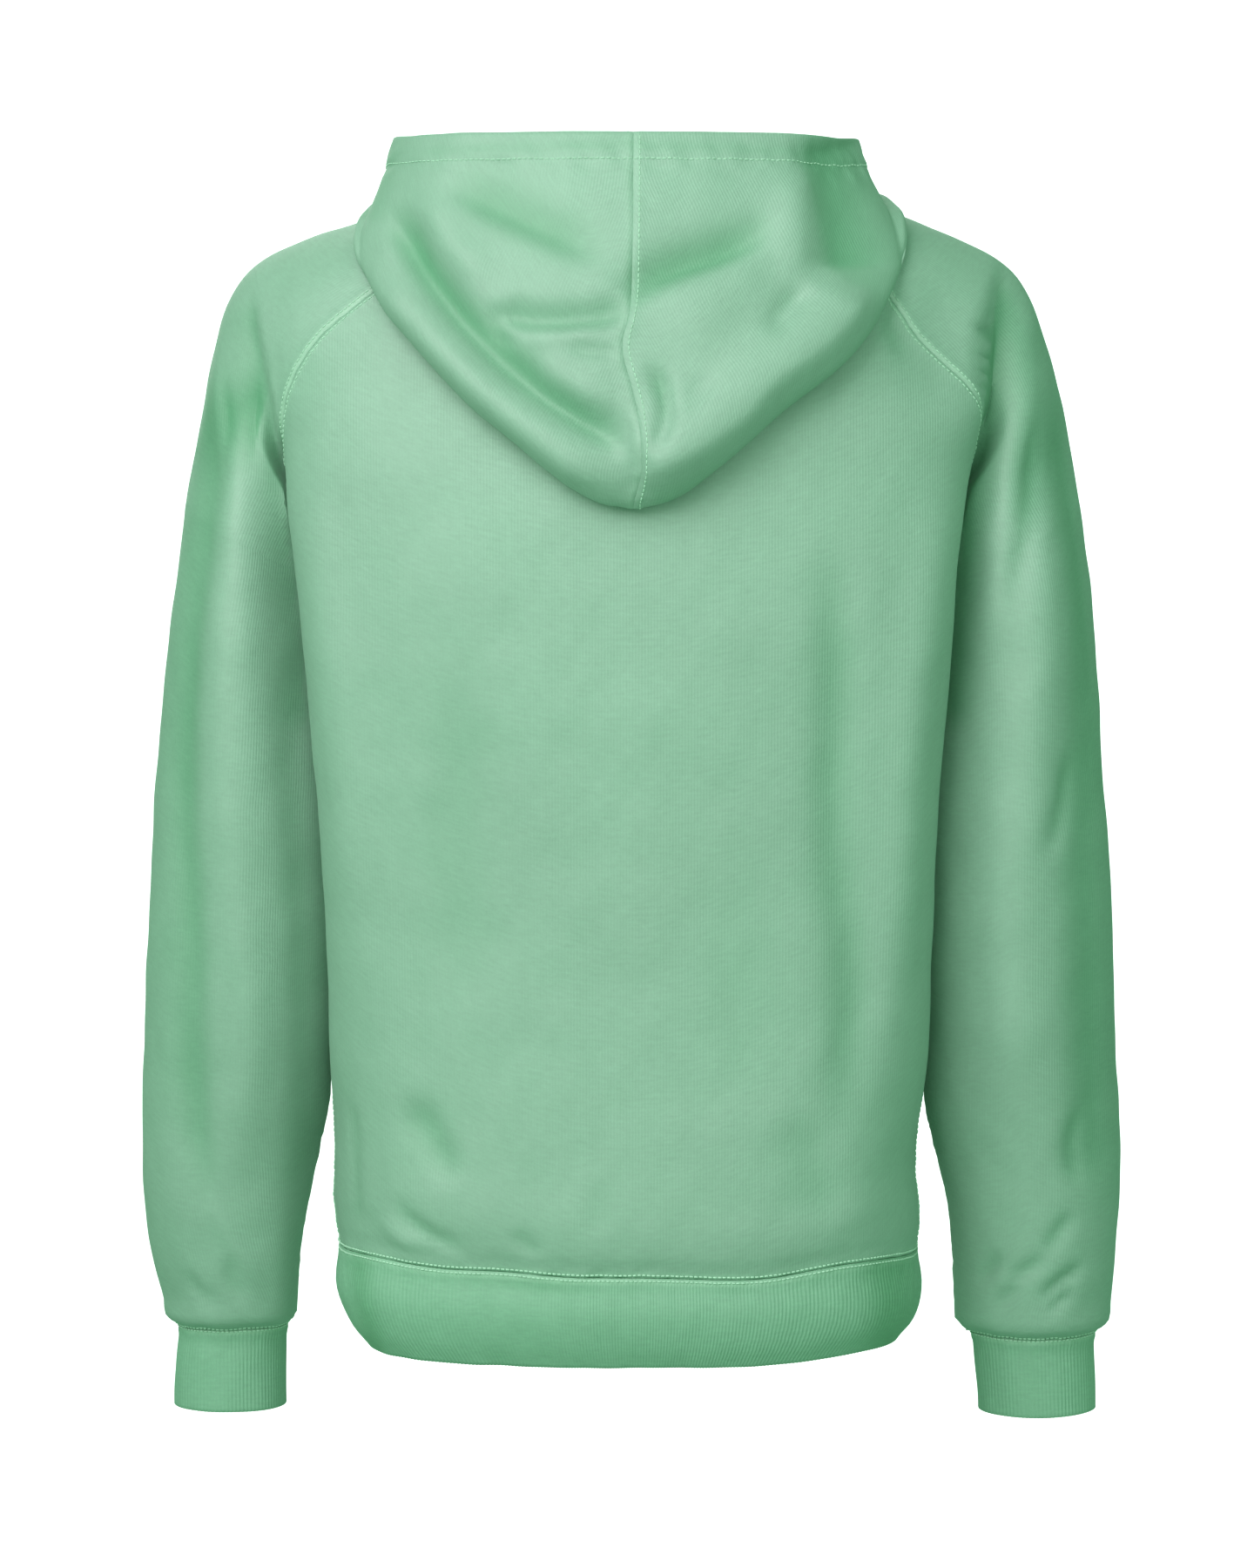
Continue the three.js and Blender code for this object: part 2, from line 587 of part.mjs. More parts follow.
for (const [name, side] of Object.entries(SIDES)) {
  const front = sheets.find((one) => one.name === `front_${name}`);
  const columns = spread(8);
  const [topRow] = POCKET_ROWS;
  const places = POCKET_ROWS.map((row) => {
    const down = Math.min((row - topRow) / (POCKET.tackRow - topRow), 1);
    const opening = lerp(POCKET.topReach, POCKET.sideReach, down);
    return columns.map((share) => {
      const inward = 1 - lerp(opening, POCKET.zipReach, share);
      return onSheet(front, row, (side > 0 ? inward : 1 - inward) * FRONT_COLUMNS);
    });
  });
  const ordered = side > 0 ? places : places.map((row) => [...row].reverse());
  const lift = (i, j) => {
    const down = (POCKET_ROWS[i] - topRow) / (POCKET_ROWS.at(-1) - topRow);
    return POCKET.lift + POCKET.belly * Math.sin(PI * down) * Math.sin(PI * columns[j]);
  };
  const points = ordered.map((row) => row.map(({ at }) => at));
  const normals = ordered.map((row) => row.map(({ normal }) => normal));
  add(`pocket_${name}`, wall(points, normals, (i, j) => lift(i, j) + CLOTH, lift), GREEN);
}

// ---- The zip ---------------------------------------------------------------------------------------------

// The zip's line down the middle of the front, read from the left front's and the band's edges at the zip.
// Each stop has a point on the outer face, the way along the cloth to the wearer's left, the way out, and how
// thick the cloth is there.
const CHAIN = { half: 2.9, proud: 0.7, back: -1.3 };
const TAPE_SET = { gap: 0.7, near: 0.4, far: 13 };

const leftFront = sheets.find((one) => one.name === "front_left");
const hemBand = sheets.find((one) => one.name === "hem_band");
const stops = [leftFront, hemBand].flatMap((one) =>
  one.grid.map((row, i) => {
    const edge = row.at(-1);
    const left = row.at(-2).clone().sub(edge).normalize();
    const before = one.grid[Math.max(i - 1, 0)].at(-1);
    const after = one.grid[Math.min(i + 1, one.grid.length - 1)].at(-1);
    const out = left.clone().cross(before.clone().sub(after)).normalize();
    return { edge, left, out, cloth: one === hemBand || i > one.grid.length - 3 ? RIB : CLOTH };
  }),
);
const zipStops = stops.filter(({ edge }, i) => i === 0 || stops[i - 1].edge.distanceTo(edge) > 4);

// A place on the zip: x from the middle and depth out from the fronts' outer face.
function zipPoint(stop, x, depth) {
  const share = (Math.abs(x) - stop.edge.x) / stop.left.x;
  return stop.edge.clone().addScaledVector(stop.left, share).addScaledVector(stop.out, depth).setX(x);
}

// A closed strip between two places across the zip, from one depth to another, all down the zip.
function zipStrip(from, to, outer, inner, list) {
  const ring = (stop) =>
    [
      [from, outer],
      [to, outer],
      [to, inner],
      [from, inner],
    ].map(([x, depth]) => zipPoint(stop, x, depth(stop)));
  const rings = list.map(ring);
  const faces = [];
  for (let i = 0; i + 1 < rings.length; i++)
    for (let k = 0; k < 4; k++) {
      const next = (k + 1) % 4;
      faces.push(4 * i + k, 4 * i + 4 + k, 4 * i + 4 + next, 4 * i + k, 4 * i + 4 + next, 4 * i + next);
    }
  const last = 4 * (rings.length - 1);
  faces.push(0, 1, 2, 0, 2, 3, last, last + 2, last + 1, last, last + 3, last + 2);
  return closedGeometry(rings.flat(), faces);
}

for (const [name, side] of Object.entries(SIDES)) {
  const [from, to] = [side * TAPE_SET.near, side * TAPE_SET.far].sort((a, b) => a - b);
  const outer = ({ cloth }) => -cloth - TAPE_SET.gap;
  const inner = (stop) => outer(stop) - TAPE;
  add(`zip_tape_${name}`, zipStrip(from, to, outer, inner, zipStops), TAPE_GREEN);
}

const kernel = await Module();
kernel.setup();

// A closed geometry as a solid that can be joined and cut, and back again.
function toSolid(geometry) {
  geometry.deleteAttribute("normal");
  geometry.deleteAttribute("uv");
  const merged = mergeVertices(geometry);
  const vertProperties = merged.getAttribute("position").array;
  const triVerts = new Uint32Array(merged.getIndex().array);
  return new kernel.Manifold(new kernel.Mesh({ numProp: 3, vertProperties, triVerts }));
}

function toGeometry(solid) {
  const { vertProperties, triVerts } = solid.getMesh();
  const geometry = closedGeometry([], [...triVerts]);
  geometry.setAttribute("position", new THREE.BufferAttribute(vertProperties, 3));
  return geometry;
}

// A straight frame on the zip at a height: x across, y up the zip, z out of it.
function zipFrame(z) {
  const i = clamp(zipStops.findIndex(({ edge }) => edge.z < z) - 1, 0, zipStops.length - 2);
  const upper = zipPoint(zipStops[i], 0, 0);
  const lower = zipPoint(zipStops[i + 1], 0, 0);
  const up = upper.clone().sub(lower).normalize();
  const out = point(1, 0, 0).cross(up).normalize();
  const origin = lower.lerp(upper, (z - lower.z) / (upper.z - lower.z));
  return new THREE.Matrix4().makeBasis(point(1, 0, 0), up, out).setPosition(origin);
}

// The chain runs between the stops, in front of the tapes, and stands a little proud of the fronts.
const SLIDER_Z = -66;
const BOX_TOP_Z = -672;
const chainStops = zipStops.filter(({ edge }) => edge.z < SLIDER_Z + 8 && edge.z > BOX_TOP_Z + 1);
add("zip_chain", zipStrip(-CHAIN.half, CHAIN.half, () => CHAIN.proud, () => CHAIN.back, chainStops), TAPE_GREEN);

// ---- Slider, pull tab and stops --------------------------------------------------------------------------

const SLIDER = { wide: 9, long: 12, corner: 2.4, thick: 1.6, gap: 0.35 };
const ARCH = { wide: 2, foot: 1.2, reach: 2.9, rise: 3.4, wall: 1.2, sunk: 0.4 };
const TAB = { long: 24, wide: 6.6, thick: 1.4, corner: 2.4, eye: 4.9, arm: 1.7, bar: 0.7, overlap: 3 };
const STOP = { wide: 2.6, long: 4, corner: 0.8, thick: 1.9, out: 1.7, base: -1.2, above: 12 };
const FOOT = { wide: 8.6, long: 9, corner: 1.2, thick: 2, base: -1.3, below: 4.2 };
const HINGE_OUT = CHAIN.proud + SLIDER.gap + SLIDER.thick + 1.2; // from the fronts' face to the tab's cross bar

const block = (x, y, z, cx, cy, cz) => toSolid(new THREE.BoxGeometry(x, y, z).translate(cx, cy, cz));

// A flat plate with round corners, lying on z = 0 about the middle.
function roundedPlate(wide, long, corner, thick) {
  const x = wide / 2 - corner;
  const y = long / 2 - corner;
  const outline = new THREE.Shape();
  const corners = [
    [x, y],
    [-x, y],
    [-x, -y],
    [x, -y],
  ];
  corners.forEach(([cx, cy], i) => outline.absarc(cx, cy, corner, (i * PI) / 2, ((i + 1) * PI) / 2));
  return new THREE.ExtrudeGeometry(outline, { depth: thick, bevelEnabled: false, curveSegments: 4 });
}

const plateBase = CHAIN.proud + SLIDER.gap;
const plateTop = plateBase + SLIDER.thick;
const plate = toSolid(
  roundedPlate(SLIDER.wide, SLIDER.long, SLIDER.corner, SLIDER.thick).translate(0, 0, plateBase),
);
const archRise = ARCH.rise + ARCH.sunk;
const archOuter = block(ARCH.wide, 2 * ARCH.reach, archRise, 0, 0, plateTop - ARCH.sunk + archRise / 2);
const holeRise = ARCH.rise - ARCH.wall;
const archHole = block(2 * ARCH.wide, 2 * (ARCH.reach - ARCH.foot), holeRise, 0, 0, plateTop + holeRise / 2);
const sliderPlace = zipFrame(SLIDER_Z);
const zipGroup = new THREE.Group();
zipGroup.name = "zip_hardware";
zipGroup.applyMatrix4(sliderPlace);
hoodie.add(zipGroup);
add("zip_slider", toGeometry(plate.add(archOuter.subtract(archHole))), METAL, zipGroup);

// The tab hangs from its cross bar, about which it turns. Its eye goes round the slider's arch.
const bladeLength = TAB.long - TAB.eye;
const blade = toSolid(
  roundedPlate(TAB.wide, bladeLength, TAB.corner, TAB.thick).translate(0, -TAB.eye - bladeLength / 2, 0),
);
const frameLength = TAB.eye + TAB.bar + TAB.overlap;
const frame = block(TAB.wide, frameLength, TAB.thick, 0, TAB.bar - frameLength / 2, TAB.thick / 2);
const eyeLength = TAB.eye - TAB.bar;
const eye = block(TAB.wide - 2 * TAB.arm, eyeLength, 2 * TAB.thick, 0, -TAB.bar - eyeLength / 2, TAB.thick / 2);
const pull = blade.add(frame).subtract(eye).translate([0, 0, HINGE_OUT - TAB.thick / 2]);
add("pull_tab", toGeometry(pull), METAL, zipGroup);

// A stop closes each tape's top, and the box holds the chain's foot.
for (const [name, side] of Object.entries(SIDES)) {
  const stop = roundedPlate(STOP.wide, STOP.long, STOP.corner, STOP.thick);
  stop.translate(side * STOP.out, 0, STOP.base);
  add(`top_stop_${name}`, stop, METAL).applyMatrix4(zipFrame(SLIDER_Z + STOP.above));
}
const foot = roundedPlate(FOOT.wide, FOOT.long, FOOT.corner, FOOT.thick).translate(0, 0, FOOT.base);
add("zip_box", foot, METAL).applyMatrix4(zipFrame(BOX_TOP_Z - FOOT.below));

export default hoodie;
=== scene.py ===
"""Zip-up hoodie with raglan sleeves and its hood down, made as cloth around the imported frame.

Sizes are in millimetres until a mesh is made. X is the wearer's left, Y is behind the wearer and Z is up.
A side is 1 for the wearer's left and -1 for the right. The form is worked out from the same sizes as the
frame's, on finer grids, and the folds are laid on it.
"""

import logging
import math
from dataclasses import dataclass, field
from enum import Enum

import bmesh
import bpy
import numpy as np
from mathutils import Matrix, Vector


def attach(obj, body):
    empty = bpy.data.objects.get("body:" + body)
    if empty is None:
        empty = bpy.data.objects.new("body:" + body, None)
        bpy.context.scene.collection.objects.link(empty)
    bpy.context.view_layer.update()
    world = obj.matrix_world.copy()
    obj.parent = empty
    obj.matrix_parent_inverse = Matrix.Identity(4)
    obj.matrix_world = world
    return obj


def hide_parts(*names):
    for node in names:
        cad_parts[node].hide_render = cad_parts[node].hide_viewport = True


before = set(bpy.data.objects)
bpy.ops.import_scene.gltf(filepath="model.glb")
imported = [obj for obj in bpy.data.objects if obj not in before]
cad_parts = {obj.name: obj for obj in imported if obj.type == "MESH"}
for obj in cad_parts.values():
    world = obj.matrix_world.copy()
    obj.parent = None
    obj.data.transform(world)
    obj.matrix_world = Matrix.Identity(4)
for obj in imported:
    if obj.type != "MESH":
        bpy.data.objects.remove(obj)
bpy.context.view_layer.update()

Array = np.ndarray
Numbers = Array | float
Colour = tuple[float, float, float, float]
Place = tuple[float, float, float]
Socket = bpy.types.NodeSocket

log = logging.getLogger("hoodie")

MM = 0.001
DEGREE = math.pi / 180
GARMENT = "garment"
SIDES = {"left": 1, "right": -1}
CLOTH_THICK = 1.8
BAND_THICK = 2.8


# ---- Small mathematics -----------------------------------------------------------------------------------


def ease(x: Numbers) -> Numbers:
    """Returns a smooth step from 0 at 0 to 1 at 1."""
    t = np.clip(x, 0, 1)
    return t * t * (3 - 2 * t)


def bell(x: Numbers) -> Numbers:
    """Returns a bell curve of height 1 at 0."""
    return np.exp(-np.square(x))


def lerp(a: Numbers, b: Numbers, share: Numbers) -> Numbers:
    """Returns the value at a share of the way from a to b."""
    return a + (b - a) * share


def points_of(x: Numbers, y: Numbers, z: Numbers) -> Array:
    """Returns points from their three coordinates, spread over each other."""
    return np.stack(np.broadcast_arrays(x, y, z), -1).astype(float)


def length_of(vectors: Array) -> Array:
    """Returns the vectors' lengths, with their last axis kept."""
    return np.linalg.norm(vectors, axis=-1, keepdims=True)


def unit(vectors: Array) -> Array:
    """Returns the vectors at length 1."""
    return vectors / np.maximum(length_of(vectors), 1e-9)


def travelled(points: Array) -> Array:
    """Returns how far along their line points lie."""
    return np.append(0, np.cumsum(np.linalg.norm(np.diff(points, axis=0), axis=1)))


def on_path(places: Array, at: Array, path: Array) -> Array:
    """Returns the points at places along a path whose own points lie at distances at."""
    return np.stack([np.interp(places, at, path[:, k]) for k in range(3)], -1)


def slerp(a: Array, b: Array, share: Array) -> Array:
    """Turns one direction towards another.

    Args:
        a: Unit vectors at share 0.
        b: Unit vectors at share 1.
        share: How far to turn, with a last axis of 1.

    Returns:
        The unit vectors between them.
    """
    cosine = np.clip(np.sum(a * b, -1, keepdims=True), -1, 1)
    angle = np.maximum(np.arccos(cosine), 1e-4)
    return unit(a * np.sin((1 - share) * angle) + b * np.sin(share * angle))


def bezier(a: Array, b: Array, c: Array, d: Array, t: Array) -> Array:
    """Returns points on cubic curves from a to d, led by b and c, at shares t."""
    s = 1 - t
    return s**3 * a + 3 * s * s * t * b + 3 * s * t * t * c + t**3 * d


def rounded_max(a: Array, b: Array, rounding: Array) -> Array:
    """Returns the larger of two distances, with the corner between them rounded."""
    near = np.maximum(rounding - np.abs(a - b), 0) / rounding
    return np.maximum(a, b) + near * near * rounding / 4


def ripple(points: Array, wavelength: float, turn: float = 0.0) -> Array:
    """Gives a smooth uneven value over space, as a sum of waves that run six ways.

    Args:
        points: Places.
        wavelength: The main distance between two crests.
        turn: Shifts the pattern.

    Returns:
        Values that mostly lie between -1 and 1.
    """
    total = np.zeros(points.shape[:-1])
    for i in range(6):
        tilt = 2.4 * i + 0.7 + turn
        way = np.array([math.cos(tilt), math.sin(1.7 * tilt), math.sin(tilt)])
        total += np.sin(points @ way * 2 * math.pi / (wavelength * (0.7 + 0.13 * i)) + 5.1 * i + turn)
    return total / 3.2


def knots(length: float, step: float, first: bool = True, last: bool = True) -> Array:
    """Spaces points along a length, closer together near its sewn ends.

    Args:
        length: The length.
        step: The usual distance between points.
        first: True to bring them closer together at the start.
        last: True to bring them closer together at the end.

    Returns:
        Shares from 0 to 1.
    """
    close = np.array([0, 2.6, 4.6, 6.8, 9.4, 12.6])
    start = close if first else close[:1]
    end = length - (close if last else close[:1])[::-1]
    count = max(int(round((end[0] - start[-1]) / step)), 1)
    return np.concatenate([start, np.linspace(start[-1], end[0], count + 1)[1:-1], end]) / length


@dataclass(frozen=True)
class Table:
    """Rows of sizes under named columns, sorted by the first one.

    Attributes:
        columns: The columns' names, with spaces between them.
        rows: The sizes.
    """

    columns: str
    rows: tuple[tuple[float, ...], ...]

    def read(self, name: str, keys: Numbers) -> Array:
        """Reads a column at any keys, on a cubic curve through the rows.

        Args:
            name: The column.
            keys: Values of the first column.

        Returns:
            The column's values there.
        """
        sizes = np.array(self.rows, float)
        at, value = sizes[:, 0], sizes[:, self.columns.split().index(name)]
        slope = np.gradient(value, at, edge_order=1)
        slope[1:-1] = (value[2:] - value[:-2]) / (at[2:] - at[:-2])
        key = np.clip(keys, at[0], at[-1])
        i = np.clip(np.searchsorted(at, key, side="right") - 1, 0, len(at) - 2)
        width = at[i + 1] - at[i]
        t = (key - at[i]) / width
        s = 1 - t
        ends = value[i] * (1 + 2 * t) * s * s + value[i + 1] * t * t * (3 - 2 * t)
        return ends + slope[i] * width * t * s * s - slope[i + 1] * width * t * t * s

    def point(self, names: str, keys: Numbers) -> Array:
        """Returns points whose three coordinates are read from the named columns."""
        return points_of(*(self.read(name, keys) for name in names.split()))


# ---- The worn form ---------------------------------------------------------------------------------------


@dataclass(frozen=True)
class Figure:
    """The filled-out form that the cloth takes: body, neck seam and arms.

    A row runs from 0 at the neck through 1 at the underarm to 2 at the hem band or the cuff.

    Attributes:
        hem_seam: Height of the hem band's seam, and hem_edge of its lower edge.
        front_edge: From the middle of the zip to the edge of each front.
        power: Shape of the body's sections, above 2 for one squarer than an ellipse.
        dent_angle: Where an arm presses on the body, and dent_spread how far round that is felt.
        sleeve_clear: Room between a hanging sleeve and the body.
        underarm: Distance along a sleeve from the neck to the underarm, and cuff_seam to the cuff.
        neck_half: From the middle of the neck to its side; neck_back and neck_front to its back and front.
        neck_back_z: Height of the neck seam at the back; the next two at its side and front.
        neck_reach: Rows over which the cloth comes away from the neck seam's line.
        neck_back_seam: Angle at which the back raglan seam meets the neck, and the next the front one.
        torso: Half width and depths of the body and the arms' dents in it, at heights.
        seams: Angle and height of the back's and the front's side edges, and their middles' heights, at rows.
        arm: Outer and inner line of the left arm and its half depth, at distances along the sleeve.
        arm_corner: How rounded the corner between arm and body is, at the neck and at the underarm.
        tuck: How far out each armhole runs at the back, and how deep the sleeve runs in behind it.
        tuck_reach: How far out from there the sleeve is drawn in, and tuck_step how far it takes to step in.
        tuck_open: Height of the armpit, below which there is no step.
    """

    hem_seam: float = -628
    hem_edge: float = -683
    front_edge: float = 8
    power: float = 2.6
    dent_angle: float = 92 * DEGREE
    dent_spread: float = 16 * DEGREE
    sleeve_clear: float = 5
    underarm: float = 315
    cuff_seam: float = 830
    neck_half: float = 97
    neck_back: float = 62
    neck_front: float = 84
    neck_back_z: float = 36
    neck_side_z: float = 52
    neck_front_z: float = -46
    neck_reach: float = 0.24
    neck_back_seam: float = 58 * DEGREE
    neck_front_seam: float = 122 * DEGREE
    torso: Table = Table(
        "z wide back front dent",
        (
            (-683, 168, 104, 106, 0), (-668, 179, 112, 114, 0), (-648, 185, 117, 119, 0),
            (-628, 184, 116, 118, 0), (-615, 188, 121, 123, 0), (-588, 192, 124, 126, 0),
            (-525, 197, 122, 125, 7), (-450, 205, 121, 127, 20), (-385, 212, 122, 130, 30),
            (-275, 227, 127, 137, 45), (-205, 236, 127, 138, 50), (-160, 242, 124, 134, 44),
            (-115, 244, 118, 123, 30), (-80, 245, 110, 109, 15), (-46, 239, 100, 88, 3),
            (-20, 226, 90, 79, 0), (0, 204, 81, 70, 0), (20, 168, 71, 59, 0), (36, 130, 62, 48, 0),
            (52, 97, 52, 38, 0),
        ),
    )
    seams: Table = Table(
        "row back_angle back_z front_angle front_z mid_back_z mid_front_z",
        (
            (0, 68, 47.5, 118, 31, 36, -46), (0.14, 61, 19, 121, 6, 12, -68),
            (0.29, 64, -18, 118, -30, -20, -94), (0.43, 69.5, -54, 113, -64, -54, -122),
            (0.56, 74, -86, 108, -98, -86, -148), (0.7, 79, -122, 103, -134, -122, -174),
            (0.85, 86, -166, 98, -172, -166, -198), (1, 93.6, -206, 93.6, -206, -206, -224),
            (1.5, 88, -408, 88, -408, -408, -418), (2, 84, -628, 84, -628, -628, -628),
        ),
    )
    arm: Table = Table(
        "along out_x out_z in_x in_z y deep",
        (
            (0, 99, 50, 87, -50, -8, 46), (50, 148, 30, 112, -75, -8, 54),
            (100, 195, 16, 137, -105, -9, 60), (140, 233, -1, 152, -135, -11, 64),
            (175, 253, -24, 163, -160, -12, 66), (215, 266, -60, 171, -178, -12, 66),
            (265, 275, -107, 179, -194, -12, 66), (315, 282.5, -156, 185, -206, -12, 66),
            (375, 291, -217, 186, -245, -12, 65), (445, 299, -288, 185, -300, -12, 64),
            (525, 305.5, -370, 186, -372, -14, 62), (605, 310.5, -452, 189, -450, -20, 60),
            (685, 314, -535, 195, -533, -30, 57), (745, 314.5, -595, 204, -593, -39, 53),
            (790, 312, -640, 208, -640, -46, 49), (812, 309, -666, 210, -666, -50, 45),
            (821, 308, -679, 212, -679, -51, 43), (830, 299, -685, 221, -685, -52, 34),
        ),
    )
    arm_corner: tuple[float, float] = (24, 2)
    tuck: Table = Table(
        "z left right deep_left deep_right",
        (
            (-420, 198, 192, 0, 0), (-330, 203, 194, 5, 6), (-273, 206, 197, 11, 12),
            (-230, 209, 200, 15, 16), (-150, 218, 209, 18, 20), (-105, 226, 217, 15, 22),
            (-76, 230, 220, 10, 21), (-50, 233, 223, 7, 18), (-30, 236, 227, 3, 13), (-5, 239, 232, 0, 4),
            (12, 239, 234, 0, 0),
        ),
    )
    tuck_reach: float = 36
    tuck_step: float = 5
    tuck_open: float = -100

    def torso_radius(self, angle: Numbers, z: Numbers) -> Array:
        """Gives the body's distance from its upright middle line.

        Args:
            angle: Angle from the middle of the back.
            z: Height.

        Returns:
            The distance.
        """
        turn = np.abs(angle)
        depth = np.where(turn < math.pi / 2, self.torso.read("back", z), self.torso.read("front", z))
        across = np.abs(np.sin(turn)) / self.torso.read("wide", z)
        along = np.abs(np.cos(turn)) / depth
        radius = (across**self.power + along**self.power) ** (-1 / self.power)
        return radius - self.torso.read("dent", z) * bell((turn - self.dent_angle) / self.dent_spread)

    def torso_point(self, angle: Numbers, z: Numbers) -> Array:
        """Returns the body's points at angles from the middle of the back and heights."""
        radius = self.torso_radius(angle, z)
        return points_of(radius * np.sin(angle), radius * np.cos(angle), z)

    def neck_point(self, angle: Numbers) -> Array:
        """Gives the neck seam's points.

        Args:
            angle: Angles from the middle of the back.

        Returns:
            The points.
        """
        sine, cosine = np.abs(np.sin(angle)), np.cos(angle)
        behind = cosine > 0
        back_z = lerp(self.neck_back_z, self.neck_side_z, sine**2)
        front_z = lerp(self.neck_front_z, self.neck_side_z, sine**1.5)
        depth = np.where(behind, self.neck_back, self.neck_front)
        return points_of(self.neck_half * np.sin(angle), depth * cosine, np.where(behind, back_z, front_z))

    def to_neck(self, points: Array, angle: Numbers, row: Numbers) -> Array:
        """Returns points drawn in to the neck seam, at angles on it, as their rows near the neck."""
        return lerp(points, self.neck_point(angle), (1 - ease(row / self.neck_reach))[..., None])

    def edge_of(self, half: str, row: Numbers) -> tuple[Array, Array]:
        """Gives the seam in which the back or the front ends.

        Args:
            half: Which of the two, "back" or "front". Below the underarm both end in the side seam.
            row: The row.

        Returns:
            Its angle from the middle of the back and its height.
        """
        below, read = np.asarray(row) > 1, self.seams.read
        angle, z = (np.where(below, read(f"back_{c}", row), read(f"{half}_{c}", row)) for c in ("angle", "z"))
        return angle * DEGREE, z

    def back_point(self, row: Array, across: Array) -> Array:
        """Gives points of the back.

        Args:
            row: The row.
            across: From -1 at the wearer's right to 1 at the left.

        Returns:
            The points.
        """
        angle, edge_z = self.edge_of("back", row)
        z = lerp(self.seams.read("mid_back_z", row), edge_z, across * across)
        return self.to_neck(self.torso_point(across * angle, z), across * self.neck_back_seam, row)

    def front_point(self, side: int, row: Array, inward: Array) -> Array:
        """Gives points of a front.

        Args:
            side: The wearer's side.
            row: The row.
            inward: From 0 at the side or raglan seam to 1 at the zip.

        Returns:
            The points.
        """
        angle, edge_z = self.edge_of("front", row)
        mid_z = self.seams.read("mid_front_z", row)
        middle = math.pi - np.arcsin(self.front_edge / self.torso.read("front", mid_z))
        made = self.torso_point(lerp(angle, middle, inward), lerp(edge_z, mid_z, inward * (2 - inward)))
        neck_middle = math.pi - math.asin(self.front_edge / self.neck_half)
        return self.to_neck(made, lerp(self.neck_front_seam, neck_middle, inward), row) * (side, 1, 1)

    def inside_torso(self, points: Array) -> Array:
        """Returns which points lie inside the body, with a last axis of 1."""
        x, y, z = np.moveaxis(points, -1, 0)
        return (np.hypot(x, y) < self.torso_radius(np.arctan2(x, y), z))[..., None]

    def torso_exit(self, start: Array, way: Array) -> Array:
        """Finds how far rays go before they leave the body, in steps and then by halving the last one.

        Args:
            start: Where the rays start.
            way: Their unit directions.

        Returns:
            The distances, with a last axis of 1, and 0 for rays that start outside.
        """
        step = 8
        low = np.zeros((*way.shape[:-1], 1))
        started = going = self.inside_torso(start + way * 0)
        for _ in range(33):
            going = going & self.inside_torso(start + way * (low + step))
            low = low + step * going
        high = low + step
        for _ in range(12):
            middle = (low + high) / 2
            reached = self.inside_torso(start + way * middle)
            low, high = np.where(reached, middle, low), np.where(reached, high, middle)
        return np.where(started, low, 0)

    def clear_of_torso(self, points: Array, by: Array) -> Array:
        """Moves points square away from the body until they are clear of it.

        Args:
            points: The points.
            by: How clear each has to be.

        Returns:
            The moved points.
        """
        made = points.copy()
        for _ in range(4):
            x, y, z = np.moveaxis(made, -1, 0)
            angle, radius = np.arctan2(x, y), np.hypot(x, y)
            slope = (self.torso_radius(angle, z + 1) - self.torso_radius(angle, z - 1)) / 2
            steep = np.hypot(1, slope)
            gap = (radius - self.torso_radius(angle, z)) / steep
            move = np.maximum(by - gap, 0) / steep
            made = points_of(x * (1 + move / radius), y * (1 + move / radius), z - slope * move)
        return made

    def tucked(self, side: int, points: Array, around: Array) -> Array:
        """Gives how far a sleeve's cloth runs in behind the body's at the back of the armhole.

        Args:
            side: The wearer's side.
            points: The sleeve's points, on the left of the body for either sleeve.
            around: From -1 at the back seam to 1 at the front seam.

        Returns:
            The distances forward.
        """
        name = "left" if side > 0 else "right"
        z = points[..., 2]
        past = points[..., 0] - self.tuck.read(name, z)
        step = lerp(ease(past / self.tuck_step + 0.5), 1, ease((self.tuck_open - z) / 24))
        fade = 1 - ease(past / self.tuck_reach)
        behind = ease((points[..., 1] + 12) / 25) * ease((1 - np.abs(around)) / 0.02) * (around < 0)
        return self.tuck.read(f"deep_{name}", z) * step * fade * behind

    def sleeve_point(self, side: int, row: Array, around: Array) -> Array:
        """Gives points of a sleeve.

        Args:
            side: The wearer's side.
            row: The row.
            around: From -1 at the back seam over the outer line to 1 at the front seam. Below the
                underarm both ends meet in one seam.

        Returns:
            The points.
        """
        along = np.minimum(row, 1) * self.underarm + np.maximum(row - 1, 0) * (self.cuff_seam - self.underarm)
        outer, inner = (self.arm.point(f"{line}_x y {line}_z", along) for line in ("out", "in"))
        middle = (outer + inner) / 2
        half = length_of(outer - middle)
        deep = self.arm.read("deep", along)[..., None]
        way = unit(outer - middle)
        closed, ahead = (row > 1)[..., None], (around > 0)[..., None]
        top = np.minimum(row, 1)
        back_end, front_end = (self.torso_point(*self.edge_of(name, top)) for name in ("back", "front"))
        end = np.where(closed, inner, np.where(ahead, front_end, back_end))
        to_end = unit(end - middle)
        to_side = unit(to_end + way + np.where(ahead, -0.5, 0.5) * (0, 1, 0))
        rounding = np.abs(lerp(*self.arm_corner, row)[..., None])
        reach = np.abs(around)[..., None] * 2

        def surface(direction: Array) -> Array:
            """Gives the sleeve's points, over the arm and round the body where it stands out of it.

            Args:
                direction: Unit directions from the arm's middle.

            Returns:
                The points.
            """
            reach_out = np.sum(direction * way, -1, keepdims=True) / half
            cloth = 1 / np.hypot(reach_out, direction[..., 1:2] / deep)
            body = self.torso_exit(middle, direction)
            return middle + direction * np.where(closed, cloth, rounded_max(cloth, body, rounding))

